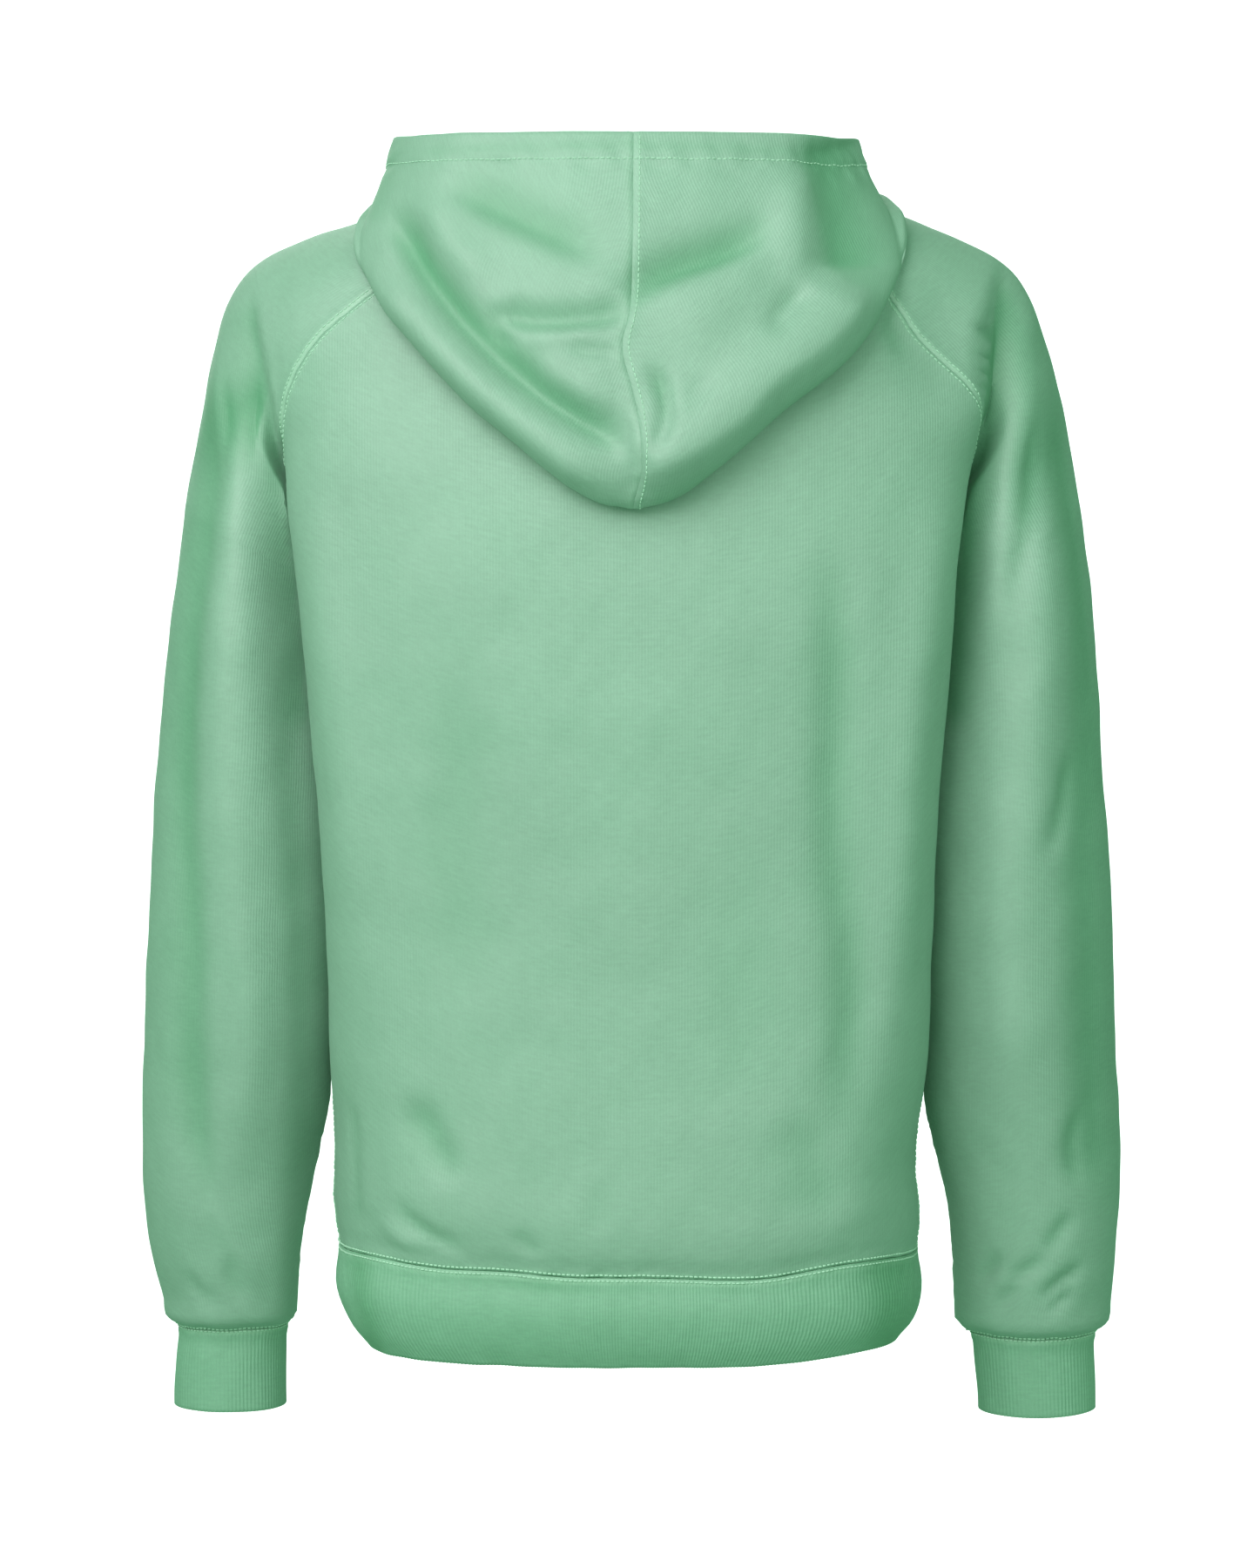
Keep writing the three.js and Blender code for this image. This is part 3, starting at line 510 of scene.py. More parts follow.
        outward = np.where(reach < 1, slerp(way, to_side, reach), slerp(to_side, to_end, reach - 1))
        made = surface(outward)
        miss = (end - surface(to_end + outward * 0)) * ease((np.abs(around) - 0.6) / 0.4)[..., None]
        neck_angle = lerp(self.neck_back_seam, self.neck_front_seam, (around + 1) / 2)
        made = np.where(closed, made, self.to_neck(made + miss, neck_angle, row))
        made[..., 1] -= self.tucked(side, made, around + 0 * row)
        edge = np.where(row > 1, 1, ease((1 - np.abs(around)) / 0.12))
        clearance = self.sleeve_clear * edge * ease((row - 0.5) / 0.3)
        cleared = self.clear_of_torso(made, clearance)
        return np.where((row > 0.5)[..., None], cleared, made) * (side, 1, 1)


@dataclass(frozen=True)
class HoodForm:
    """The hood lying down on the back: from the neck seam under it, round its outer roll, to its rim.

    Attributes:
        roll: Share of the way up at which the cloth turns round the outer roll.
        clear: Room between the hood and the body.
        shoulder_clear: More of it at the shoulders, whose angle is shoulder.
        layer_clear: Room between the hood's lower layer and its upper one.
        seam_in: How far the hood's foot is seated inside the neck seam, and seam_down below it.
        up_mm: Length of the cloth from the neck seam to the rim, which sets the grid's rows.
        lines: The outer roll, the rim and how much wider the right half is, at angles.
        sway: How far the centre seam strays across at its heights, felt over sway_reach beside it.
        rim_width: How wide the rim is on the left and on the right, as shares of its line.
        foot_lead: How far out and up the cloth sets off at the neck seam. Then, as shares of the way between
            roll and seam or rim, how it runs in to the roll, out of it, and back from the rim.
    """

    figure: Figure
    roll: float = 0.45
    clear: float = 5
    shoulder_clear: float = 3
    shoulder: float = 112
    layer_clear: float = 5
    seam_in: float = 2.5
    seam_down: float = 2
    up_mm: float = 420
    sway_reach: float = 34
    rim_width: tuple[float, float] = (1.02, 0.96)
    foot_lead: tuple[float, float] = (8, 14)
    under_lead: tuple[float, float] = (-0.16, -0.032)
    over_lead: tuple[float, float] = (0.17, 0.06)
    rim_lead: tuple[float, float] = (0.16, -0.36)
    lines: Table = Table(
        "angle roll_x roll_y roll_z rim_x rim_y rim_z right",
        (
            (0, 0, 136, -155, 0, 102, 72, 0), (10, 24, 136, -149.5, 26, 101, 72, 1),
            (20, 52, 133, -130, 51, 98, 72, 3), (40, 97, 121, -93, 98, 86, 72, 6),
            (60, 134, 100, -50, 130, 62, 72, 9), (80, 159, 72, -14, 144, 33, 72, 4),
            (98, 158, 34, 14, 138, 2, 64, 1), (118, 138, -28, 26, 114, -42, 52, 0),
            (138, 110, -80, 18, 86, -76, 24, 0), (160, 56, -110, -24, 44, -104, -14, 0),
            (180, 9, -106, -46, 9, -101, -32, 0),
        ),
    )
    sway: Table = Table(
        "z across",
        (
            (-158, 0), (-148, -3), (-124, -5), (-100, -3), (-82, 1), (-64, 6), (-54, 6.5), (-40, 3),
            (-20, 1), (72, 0),
        ),
    )

    def point(self, side: int, turn: Array, up: Array) -> Array:
        """Gives points of one half of the hood.

        Args:
            side: The wearer's side.
            turn: Angle from the middle of the back to the middle of the front.
            up: Share of the way from the neck seam, round the roll, to the rim.

        Returns:
            The points.
        """
        degrees = turn / DEGREE
        neck = self.figure.neck_point(turn)
        wider = self.lines.read("right", degrees) if side < 0 else 0
        roll = self.lines.point("roll_x roll_y roll_z", degrees) + points_of(wider, 0, 0)
        rim = self.lines.point("rim_x rim_y rim_z", degrees) * (self.rim_width[side < 0], 1, 1)
        outward, upward = unit((roll - neck) * (1, 1, 0)), np.array([0, 0, 1])
        seam = neck - outward * self.seam_in - (0, 0, self.seam_down)
        fall, rise = length_of(roll - seam), length_of(roll - rim)
        lower = np.minimum(up / self.roll, 1)[..., None]
        upper = np.maximum((up - self.roll) / (1 - self.roll), 0)[..., None]

        def led(start: Array, reach: Numbers, lead: tuple[float, float]) -> Array:
            """Returns points led away from a start, out and up by shares of a reach."""
            return start + reach * (lead[0] * outward + lead[1] * upward)

        under = bezier(seam, led(seam, 1, self.foot_lead), led(roll, fall, self.under_lead), roll, lower)
        over = bezier(roll, led(roll, rise, self.over_lead), led(rim, rise, self.rim_lead), rim, upper)
        made = np.where((up < self.roll)[..., None], under, over)
        clear = self.clear + self.shoulder_clear * bell((degrees - self.shoulder) / 24)
        room = clear * ease(up / 0.12) + self.layer_clear * ease((up - self.roll) / 0.2)
        room = room - 2 * self.seam_in * (1 - ease(up / 0.04))
        made = self.figure.clear_of_torso(made, room) * (side, 1, 1)
        near_seam = bell(made[..., 0] / self.sway_reach) * ease((up - self.roll) / 0.12)
        near_seam = near_seam * ease((90 - degrees) / 30)
        made[..., 0] += self.sway.read("across", made[..., 2]) * near_seam
        return made


# ---- Making objects --------------------------------------------------------------------------------------


def add_object(name: str, data: bpy.types.ID) -> bpy.types.Object:
    """Adds an object to the scene.

    Args:
        name: The object's name.
        data: Its mesh, light or camera.

    Returns:
        The object.
    """
    made = bpy.data.objects.new(name, data)
    bpy.context.scene.collection.objects.link(made)
    return made


def make_object(name: str, points: Array, faces: Array | list, smooth: bool = True) -> bpy.types.Object:
    """Makes a mesh object.

    Args:
        name: The object's name.
        points: Its points, in millimetres.
        faces: Its faces, as rows of point numbers.
        smooth: True for smooth shading.

    Returns:
        The object.
    """
    mesh = bpy.data.meshes.new(name)
    mesh.from_pydata((points * MM).tolist(), [], [list(face) for face in faces])
    mesh.polygons.foreach_set("use_smooth", [smooth] * len(mesh.polygons))
    mesh.update()
    return add_object(name, mesh)


def repeated(block: list[list[int]], count: int, each: int) -> list[list[int]]:
    """Returns the faces of one block of points, repeated for a run of such blocks."""
    return [[k + each * i for k in face] for i in range(count) for face in block]


def bevel(made: bpy.types.Object, width: float, segments: int) -> None:
    """Rounds an object's sharp edges.

    Args:
        made: The object.
        width: How far the rounding reaches, in millimetres.
        segments: Steps in it.
    """
    sharp_angle = 0.6
    work = bmesh.new()
    work.from_mesh(made.data)
    bmesh.ops.remove_doubles(work, verts=work.verts, dist=1e-6)
    bmesh.ops.dissolve_limit(work, angle_limit=0.02, verts=work.verts, edges=work.edges)
    inner = [edge for edge in work.edges if len(edge.link_faces) == 2]
    sharp = [edge for edge in inner if edge.calc_face_angle() > sharp_angle]
    how = {"segments": segments, "profile": 0.5, "affect": "EDGES", "clamp_overlap": True}
    bmesh.ops.bevel(work, geom=sharp, offset=width * MM, **how)
    bmesh.ops.recalc_face_normals(work, faces=work.faces)
    for face in work.faces:
        face.smooth = True
    work.to_mesh(made.data)
    work.free()


def dress(made: bpy.types.Object, material: bpy.types.Material, body: str = GARMENT) -> None:
    """Gives an object its material, lets it ride on a body and reports it.

    Args:
        made: The object.
        material: The material.
        body: The body.
    """
    made.data.materials.clear()
    made.data.materials.append(material)
    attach(made, body)
    log.info("%s: %d faces", made.name, len(made.data.polygons))


# ---- Sheets of cloth -------------------------------------------------------------------------------------


class Edge(Enum):
    """The four edges of a sheet's grid."""

    TOP = "top"
    BOTTOM = "bottom"
    FIRST = "first"
    LAST = "last"


class Face(Enum):
    """The side of the garment on which a fold is drawn: its two axes and the way it faces."""

    BACK = (0, 2, (0, 1, 0))
    FRONT = (0, 2, (0, -1, 0))
    LEFT = (1, 2, (1, 0, 0))
    RIGHT = (1, 2, (-1, 0, 0))


@dataclass(frozen=True)
class Fold:
    """A soft trough or ridge along a line, or a soft patch of painted shade.

    Attributes:
        face: The side of the garment that it is drawn on.
        line: Its points: across (or backward, on a left or right face) and up.
        out: How far it stands out, below zero for a trough; or, for a patch of painted shade, how strongly
            the shade is painted.
        left: Its half width at the left of the line's direction, seen with the first axis to the right.
        right: Its half width at the other side.
        taper: Share of its length over which each end fades.
    """

    face: Face
    line: tuple[tuple[float, float], ...]
    out: float
    left: float
    right: float
    taper: float = 0.35

    def trace(self) -> Array:
        """Returns the line as a smooth run of short steps."""
        at = travelled(np.array(self.line, float))
        smooth = Table("at a b", tuple((a, *p) for a, p in zip(at, self.line, strict=True)))
        steps = np.linspace(0, at[-1], 8 * len(at))
        return np.stack([smooth.read("a", steps), smooth.read("b", steps)], -1)

    def push(self, points: Array, normals: Array) -> Array:
        """Gives how far the fold moves cloth out.

        Args:
            points: Places on the cloth.
            normals: The ways out of it there.

        Returns:
            The distances out.
        """
        first, second, facing = self.face.value
        flat = points[..., [first, second]]
        line = self.trace()
        steps = np.diff(line, axis=0)
        nearest = np.full(flat.shape[:-1], np.inf)
        share, hand = np.zeros_like(nearest), np.zeros_like(nearest)
        for i, (start, step) in enumerate(zip(line, steps, strict=False)):
            away = flat - start
            along = np.clip(away @ step / (step @ step), 0, 1)
            distance = np.linalg.norm(away - along[..., None] * step, axis=-1)
            closer = distance < nearest
            nearest = np.where(closer, distance, nearest)
            share = np.where(closer, (i + along) / len(steps), share)
            hand = np.where(closer, step[0] * away[..., 1] - step[1] * away[..., 0], hand)
        width = np.where(hand > 0, self.left, self.right)
        ends = ease(share / self.taper) * ease((1 - share) / self.taper)
        seen = ease((normals @ np.array(facing) + 0.05) / 0.45)
        return self.out * bell(nearest / width) * ends * seen


def folds(face: Face, *rows: tuple) -> tuple[Fold, ...]:
    """Returns folds on one face from the rows of their other sizes."""
    return tuple(Fold(face, *row) for row in rows)


def folds_of(every: tuple[Fold, ...], name: str) -> tuple[Fold, ...]:
    """Picks a side's folds.

    Args:
        every: The folds of both sides.
        name: The side's name.

    Returns:
        Those on the side's own face, or on its half of the back or the front.
    """
    own, other = (Face.LEFT, Face.RIGHT)[:: SIDES[name]]
    here = [fold.face is own or fold.line[0][0] * SIDES[name] > 0 for fold in every]
    return tuple(fold for fold, kept in zip(every, here, strict=True) if kept and fold.face is not other)


@dataclass(frozen=True)
class Nudge:
    """A soft shift of all cloth near a place, seen from behind.

    Attributes:
        x: Where it is strongest, across.
        z: Where it is strongest, up.
        move: How far it shifts the cloth across and up.
        reach: How far it is felt across and up.
        only: Pieces that it moves, by the starts of their names; empty for all.
    """

    x: float
    z: float
    move: tuple[float, float]
    reach: tuple[float, float]
    only: tuple[str, ...] = ()

    def shift(self, points: Array) -> Array:
        """Returns how far the points move."""
        across, up = (points[..., 0] - self.x) / self.reach[0], (points[..., 2] - self.z) / self.reach[1]
        return (bell(across) * bell(up))[..., None] * (self.move[0], 0, self.move[1])


@dataclass
class Sheet:
    """A piece of cloth as a grid of points on its outer face.

    Attributes:
        name: The piece's name.
        grid: Its points, in rows and columns.
        flip: True where the outside is not at the cross product of the columns' way and the rows' way.
        thickness: How thick the cloth is.
        gap: Room left at its edges for the next piece, below zero for edges that press into each other.
        seams: Its edges that are sewn to another piece.
        folds: Folds that run over its seams into the next piece.
        own_folds: Folds that end before its edges.
        shades: Patches of painted shade, where the colour is darkened to stand in for shade.
        pucker: How strongly its seams pucker.
        pucker_reach: How far from a seam they do.
        allowance: Height, middle and half width of the ridge over the cloth turned in at a seam.
        groove: Depth and half width of the groove in the seam itself.
        seam_lift: How much of that ridge it has.
        folds_from: Distance from the top edge at which its folds begin to show, 0 for everywhere.
        edge_round: How far the rounding of its edges reaches.
        is_form: True for a piece of the worn form, which the nudges move.
    """

    name: str
    grid: Array
    flip: bool = False
    thickness: float = CLOTH_THICK
    gap: float = -0.16
    seams: tuple[Edge, ...] = ()
    folds: tuple[Fold, ...] = ()
    own_folds: tuple[Fold, ...] = ()
    shades: tuple[Fold, ...] = ()
    pucker: float = 0.35
    pucker_reach: float = 9
    allowance: tuple[float, float, float] = (0.55, 4, 2.6)
    groove: tuple[float, float] = (0.3, 1.6)
    seam_lift: float = 1
    folds_from: float = 0
    edge_round: float = 0.45
    is_form: bool = True
    normals: Array = field(init=False)
    moved: Array = field(init=False)
    shade: Array = field(init=False)

    def __post_init__(self) -> None:
        """Moves the cloth by its nudges, each after the one before, and works out the ways out of it."""
        for nudge in NUDGES if self.is_form else ():
            if not nudge.only or self.name.startswith(nudge.only):
                self.grid = self.grid + nudge.shift(self.grid)
        self.find_normals()
        self.moved = self.shade = np.zeros(self.grid.shape[:2])

    def find_normals(self) -> None:
        """Works out the ways out of the cloth at its points."""
        down, along = np.gradient(self.grid, axis=0), np.gradient(self.grid, axis=1)
        out = np.cross(along, down)
        self.normals = unit(-out if self.flip else out)

    def raise_by(self, out: Array) -> None:
        """Moves the cloth out by a distance at each point."""
        self.grid = self.grid + self.normals * out[..., None]

    def lengths(self, axis: int) -> Array:
        """Measures along the cloth.

        Args:
            axis: 0 to measure from the first row, 1 to measure from the first column.

        Returns:
            Each point's distance.
        """
        steps = np.linalg.norm(np.diff(self.grid, axis=axis), axis=-1)
        start = np.zeros((1, steps.shape[1]) if axis == 0 else (steps.shape[0], 1))
        return np.concatenate([start, np.cumsum(steps, axis=axis)], axis=axis)

    def from_edge(self, edge: Edge) -> Array:
        """Measures along the cloth from an edge.

        Args:
            edge: The edge.

        Returns:
            Each point's distance.
        """
        lengths = self.lengths(0 if edge in (Edge.TOP, Edge.BOTTOM) else 1)
        if edge in (Edge.TOP, Edge.FIRST):
            return lengths
        return (lengths[-1:, :] if edge is Edge.BOTTOM else lengths[:, -1:]) - lengths

    def turned(self, values: Array, edge: Edge) -> Array:
        """Returns a grid of values with its rows turned to run away from an edge."""
        made = values.swapaxes(0, 1) if edge in (Edge.TOP, Edge.BOTTOM) else values
        return made[:, ::-1] if edge in (Edge.BOTTOM, Edge.LAST) else made

    def beside(self, edge: Edge, distance: float) -> tuple[Array, Array]:
        """Finds the line at a distance from an edge.

        Args:
            edge: The edge.
            distance: How far the line is from it along the cloth.

        Returns:
            The line's points and the ways out of the cloth there.
        """
        away = self.turned(self.from_edge(edge), edge)
        reach = np.maximum(np.argmax(away >= distance, axis=1), 1)
        row = np.arange(len(away))
        before, after = away[row, reach - 1], away[row, reach]
        share = ((distance - before) / np.maximum(after - before, 1e-6))[:, None]
        parts = (self.turned(values, edge) for values in (self.grid, self.normals))
        line, out = (lerp(part[row, reach - 1], part[row, reach], share) for part in parts)
        return line, unit(out)

    def inside_edges(self, reach: float) -> Array:
        """Returns a mask that rises from 0 at the edges to 1 at a reach inside them."""
        return np.prod([ease(self.from_edge(edge) / reach) for edge in Edge], axis=0)

    def seam_push(self) -> Array:
        """Returns how far the doubled cloth beside each seam stands out, with its puckers."""
        total = np.zeros(self.grid.shape[:2])
        waves = ripple(self.grid, 15, 0.4) + 0.6 * ripple(self.grid, 8, 2)
        rise, at, width = self.allowance
        depth, narrow = self.groove
        for edge in self.seams:
            away = self.from_edge(edge)
            total += rise * self.seam_lift * bell((away - at) / width) - depth * bell(away / narrow)
            total += self.pucker * waves * bell(away / self.pucker_reach)
        return total

    def push_of(self, laid: tuple[Fold, ...]) -> Array:
        """Returns how far some folds move the cloth out together."""
        return sum((fold.push(self.grid, self.normals) for fold in laid), np.zeros(self.grid.shape[:2]))

    def lay_folds(self) -> None:
        """Moves the cloth by its folds, its seams and its own slight unevenness, and works out its painted
        shade.
        """
        started = ease((self.from_edge(Edge.TOP) - self.folds_from) / 30) if self.folds_from else 1
        push = self.push_of(self.folds) * started + self.push_of(self.own_folds) * self.inside_edges(16)
        # Painted shade: the shade patches darken the colour only and do not move the cloth.
        self.shade = self.push_of(self.shades) * started
        uneven = 0.5 * ripple(self.grid, 90, 1) + 0.22 * ripple(self.grid, 34, 3)
        self.moved = push + uneven
        self.raise_by(self.moved + self.seam_push())
        self.find_normals()

    def drawn_in(self, by: float) -> Array:
        """Moves the grid's edge points in towards their neighbours.

        Args:
            by: How far.

        Returns:
            The new grid.
        """
        made = self.grid.copy()
        for edge, next_to in ((np.s_[:, 0], np.s_[:, 1]), (np.s_[:, -1], np.s_[:, -2]), (0, 1), (-1, -2)):
            made[edge] += unit(made[next_to] - made[edge]) * by
        return made

    def border(self) -> Array:
        """Returns the border points' numbers, once round the grid."""
        rows, columns = self.grid.shape[:2]
        number = np.arange(rows * columns).reshape(rows, columns)
        return np.concatenate([number[0, :-1], number[:-1, -1], number[-1, :0:-1], number[:0:-1, 0]])

    def wall(self) -> tuple[Array, Array]:
        """Makes the closed wall of cloth, with round edges.

        Returns:
            Its points and its faces of four.
        """
        rows, columns = self.grid.shape[:2]
        count = rows * columns
        radius = self.thickness / 2
        outer = self.drawn_in(self.edge_round + self.gap / 2).reshape(-1, 3)
        normals = self.normals.reshape(-1, 3)
        loop = self.border()
        outward = unit(self.grid.reshape(-1, 3)[loop] - outer[loop])
        middle = outer[loop] - normals[loop] * radius
        rounds = [
            middle + radius * math.cos(a) * normals[loop] + self.edge_round * math.sin(a) * outward
            for a in (math.pi / 4, math.pi / 2, 3 * math.pi / 4)
        ]
        number = np.arange(count).reshape(rows, columns)
        corners = [number[:-1, :-1], number[:-1, 1:], number[1:, 1:], number[1:, :-1]]
        quads = np.stack(corners, -1).reshape(-1, 4)
        faces = [quads, quads[:, ::-1] + count]
        size = len(loop)
        rings = [loop, *(2 * count + k * size + np.arange(size) for k in range(3)), loop + count]
        for ring, further in zip(rings, rings[1:], strict=False):
            faces.append(np.stack([ring, further, np.roll(further, -1), np.roll(ring, -1)], -1))
        made = np.concatenate(faces)
        points = np.concatenate([outer, outer - normals * self.thickness, *rounds])
        return points, made[:, ::-1] if self.flip else made

    def on_points(self, values: Array) -> Array:
        """Returns the grid's values, one or a row of them for each point, spread over the wall's points."""
        flat = values.reshape(self.grid.shape[0] * self.grid.shape[1], -1)
        return np.concatenate([flat, flat, *(flat[self.border()] for _ in range(3))])

    def values(self) -> dict[str, Array]:
        """Gives what the materials read at each point of the grid.

        Returns:
            The place on the cloth in metres, how much shade is painted there from its troughs and its shade
            patches, and how near it lies to a seam's raised edge, each from 0 to 1, under their attributes'
            names.
        """
        across = self.lengths(1)
        across = across - across[:, across.shape[1] // 2 : across.shape[1] // 2 + 1]
        near = [bell((self.from_edge(edge) - 1.7) / 1.7) for edge in self.seams] or [self.moved * 0]
        return {
            "cloth": points_of(across * MM, self.lengths(0) * MM, 0),
            # Painted shade: darker where a fold presses the cloth in, and in the shade patches.
            "painted_shade": np.clip(self.shade - self.moved / 13, 0, 1),
            "seam": np.max(near, axis=0) * self.seam_lift,
        }

    def make(self, material: bpy.types.Material, slot: str, flat: tuple[float, float], area: float) -> None:
        """Makes the object, dressed.

        Args:
            material: Its material.
            slot: Its slot in the record; not used.
            flat: Width and length of the piece it is cut from, in metres; not used.
            area: Area of its cut, in square metres; not used.
        """
        points, faces = self.wall()
        made = make_object(self.name + "_cloth", points, faces)
        for name, values in self.values().items():
            kind, key = ("FLOAT", "value") if values.ndim == 2 else ("FLOAT_VECTOR", "vector")
            attribute = made.data.attributes.new(name, kind, "POINT")
            attribute.data.foreach_set(key, self.on_points(values).astype(np.float32).ravel())
        dress(made, material)
        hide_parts(self.name)


def share_normals(sheets: list[Sheet]) -> None:
    """Gives border points that several sheets share the mean of their normals."""
    loops = [sheet.border() for sheet in sheets]
    pairs = list(zip(sheets, loops, strict=True))
    places = np.concatenate([sheet.grid.reshape(-1, 3)[loop] for sheet, loop in pairs])
    normals = np.concatenate([sheet.normals.reshape(-1, 3)[loop] for sheet, loop in pairs])
    keys = np.floor(places * 4 + 0.137).astype(int)
    _, group = np.unique(keys, axis=0, return_inverse=True)
    group = group.reshape(-1)
    total = np.zeros((group.max() + 1, 3))
    np.add.at(total, group, normals)
    means = np.split(unit(total)[group], np.cumsum([len(loop) for loop in loops])[:-1])
    for (sheet, loop), mean in zip(pairs, means, strict=True):
        flat = sheet.normals.reshape(-1, 3).copy()
        flat[loop] = mean
        sheet.normals = flat.reshape(sheet.normals.shape)


# ---- Finishes --------------------------------------------------------------------------------------------


class Graph:
    """A material's nodes, added and joined in one call each."""

    def __init__(self, name: str) -> None:
        """Starts a material of this name with only its shader and output."""
        self.material = bpy.data.materials.new(name)
        self.material.use_nodes = True
        self.tree = self.material.node_tree

    def add(self, kind: str, inputs: dict[str | int, object], **settings: object) -> bpy.types.Node:
        """Adds a node.

        Args:
            kind: The node's type, without its ShaderNode prefix.
            inputs: Values or sockets for its inputs.
            settings: Values for its own settings.

        Returns:
            The node.
        """
        node = self.tree.nodes.new("ShaderNode" + kind)
        for name, value in settings.items():
            setattr(node, name, value)
        self.fill(node, inputs)
        return node

    def fill(self, node: bpy.types.Node, inputs: dict[str | int, object]) -> None:
        """Sets or links a node's inputs.

        Args:
            node: The node.
            inputs: Values or sockets for its inputs.
        """
        for name, value in inputs.items():
            socket = node.inputs[name]
            if isinstance(value, bpy.types.NodeSocket):
                self.tree.links.new(value, socket)
            else:
                socket.default_value = value

    def finish(self, **inputs: object) -> bpy.types.Material:
        """Returns the material, with its shader's inputs set or linked, named with _ for their spaces."""
        shader = self.tree.nodes["Principled BSDF"]
        self.fill(shader, {name.replace("_", " "): value for name, value in inputs.items()})
        return self.material

    def place(self) -> Socket:
        """Returns the socket of places on the object."""
        return self.add("TexCoord", {}).outputs["Object"]

    def attribute(self, name: str, output: str = "Fac") -> Socket:
        """Returns the socket of one of the mesh's point attributes."""
        return self.add("Attribute", {}, attribute_name=name).outputs[output]

    def stretch(self, place: Socket, scale: Place) -> Socket:
        """Returns the socket of places stretched by a scale."""
        return self.add("Mapping", {"Vector": place, "Scale": scale}).outputs[0]

    def noise(self, place: Socket, scale: float, detail: float = 2.0, rough: float = 0.5) -> Socket:
        """Returns the socket of a cloudy pattern."""
        inputs = {"Vector": place, "Scale": scale, "Detail": detail, "Roughness": rough}
        return self.add("TexNoise", inputs).outputs["Fac"]

    def mix(
        self, share: Socket | float, a: Socket | Colour, b: Socket | Colour, blend: str = "MIX"
    ) -> Socket:
        """Returns the socket of two colours mixed by a share of the second."""
        return self.add("Mix", {0: share, 6: a, 7: b}, data_type="RGBA", blend_type=blend).outputs[2]

    def times(self, colour: Socket, value: Socket) -> Socket:
        """Returns the socket of a colour made paler or darker by a value."""
        grey = self.add("CombineColor", dict.fromkeys(range(3), value)).outputs[0]
        return self.mix(1.0, colour, grey, "MULTIPLY")

    def spread(self, value: Socket, low: float, high: float, start: float, end: float) -> Socket:
        """Returns a socket with a value's range from low to high spread from start to end."""
        inputs = {"Value": value, "From Min": low, "From Max": high, "To Min": start, "To Max": end}
        return self.add("MapRange", inputs).outputs["Result"]

    def bump(self, height: Socket, distance: float, strength: float, after: Socket | None = None) -> Socket:
        """Returns the normals of a small relief, laid over those of an earlier one."""
        inputs = {"Height": height, "Distance": distance, "Strength": strength}
        return self.add("Bump", inputs if after is None else inputs | {"Normal": after}).outputs["Normal"]

    def drifting(self, colour: Colour, dark: float, pattern: Socket, most: float) -> Socket:
        """Returns the socket of a colour that a pattern darkens, by at most a share of a dark one."""
        share = self.spread(pattern, 0.3, 0.7, 0.0, most)
        return self.mix(share, colour, tuple(dark * part for part in colour[:3]) + (1.0,))


@dataclass(frozen=True)
class ClothFinish:
    """Soft cotton cloth, piece dyed, with shade painted into its troughs and shade patches.

    Attributes:
        deep: Painted shade: its darker colour where the cloth lies in a trough and in the shade patches.
        pale: Its colour on the raised edges of seams, where the dye is rubbed off.
        wale: Width of one column of knit.
        relief: How strongly the knit shows.
        sheen: How much light its bloom of fibres catches.
    """

    name: str
    colour: Colour
    deep: Colour
    pale: Colour
    wale: float = 0.95
    relief: float = 0.35
    sheen: float = 0.05

    def make(self) -> bpy.types.Material:
        """Returns the material."""
        graph = Graph(self.name)
        place = graph.place()
        knit_place = graph.attribute("cloth", "Vector")
        cloud = graph.noise(place, 9.0, 3.0, 0.55)
        slub = graph.noise(graph.stretch(knit_place, (110.0, 460.0, 1.0)), 1.0)
        fleck = graph.noise(place, 700.0)
        # Painted shade: the deep colour is mixed in where the cloth lies in a trough and in the shade
        # patches.
        fold, seam = graph.attribute("painted_shade"), graph.attribute("seam")
        colour = graph.mix(fold, self.colour, self.deep)
        colour = graph.mix(graph.spread(seam, 0, 1, 0, 0.75), colour, self.pale)
        colour = graph.times(colour, graph.spread(cloud, 0.3, 0.7, 0.955, 1.04))
        colour = graph.times(colour, graph.spread(slub, 0.25, 0.75, 0.94, 1.06))
        colour = graph.times(colour, graph.spread(fleck, 0.3, 0.7, 0.97, 1.03))
        knit = {"Vector": knit_place, "Scale": 1 / (self.wale * MM) / 6.2832, "Distortion": 0.6}
        wales = graph.add("TexWave", knit, wave_type="BANDS", bands_direction="X").outputs["Fac"]
        normal = graph.bump(graph.noise(place, 46.0, 2.0, 0.4), 0.0012, 0.35)
        normal = graph.bump(graph.noise(place, 420.0, 3.0), 0.0003, 0.4, normal)
        normal = graph.bump(wales, 0.0002, self.relief, normal)
        return graph.finish(
            Base_Color=colour, Roughness=0.6, Normal=normal, Specular_IOR_Level=1.0,
            Sheen_Weight=self.sheen, Sheen_Roughness=0.5, Sheen_Tint=(0.86, 1.0, 0.9, 1.0),
        )


@dataclass(frozen=True)
class ThreadFinish:
    """Sewing thread, a shade lighter than the cloth."""

    name: str
    colour: Colour

    def make(self) -> bpy.types.Material:
        """Returns the material."""
        graph = Graph(self.name)
        place = graph.place()
        colour = graph.drifting(self.colour, 0.72, graph.noise(place, 60.0, 1.0), 0.35)
        twist = graph.bump(graph.noise(place, 1500.0), 0.0002, 0.6)
        return graph.finish(Base_Color=colour, Roughness=0.62, Normal=twist, Sheen_Weight=0.1)


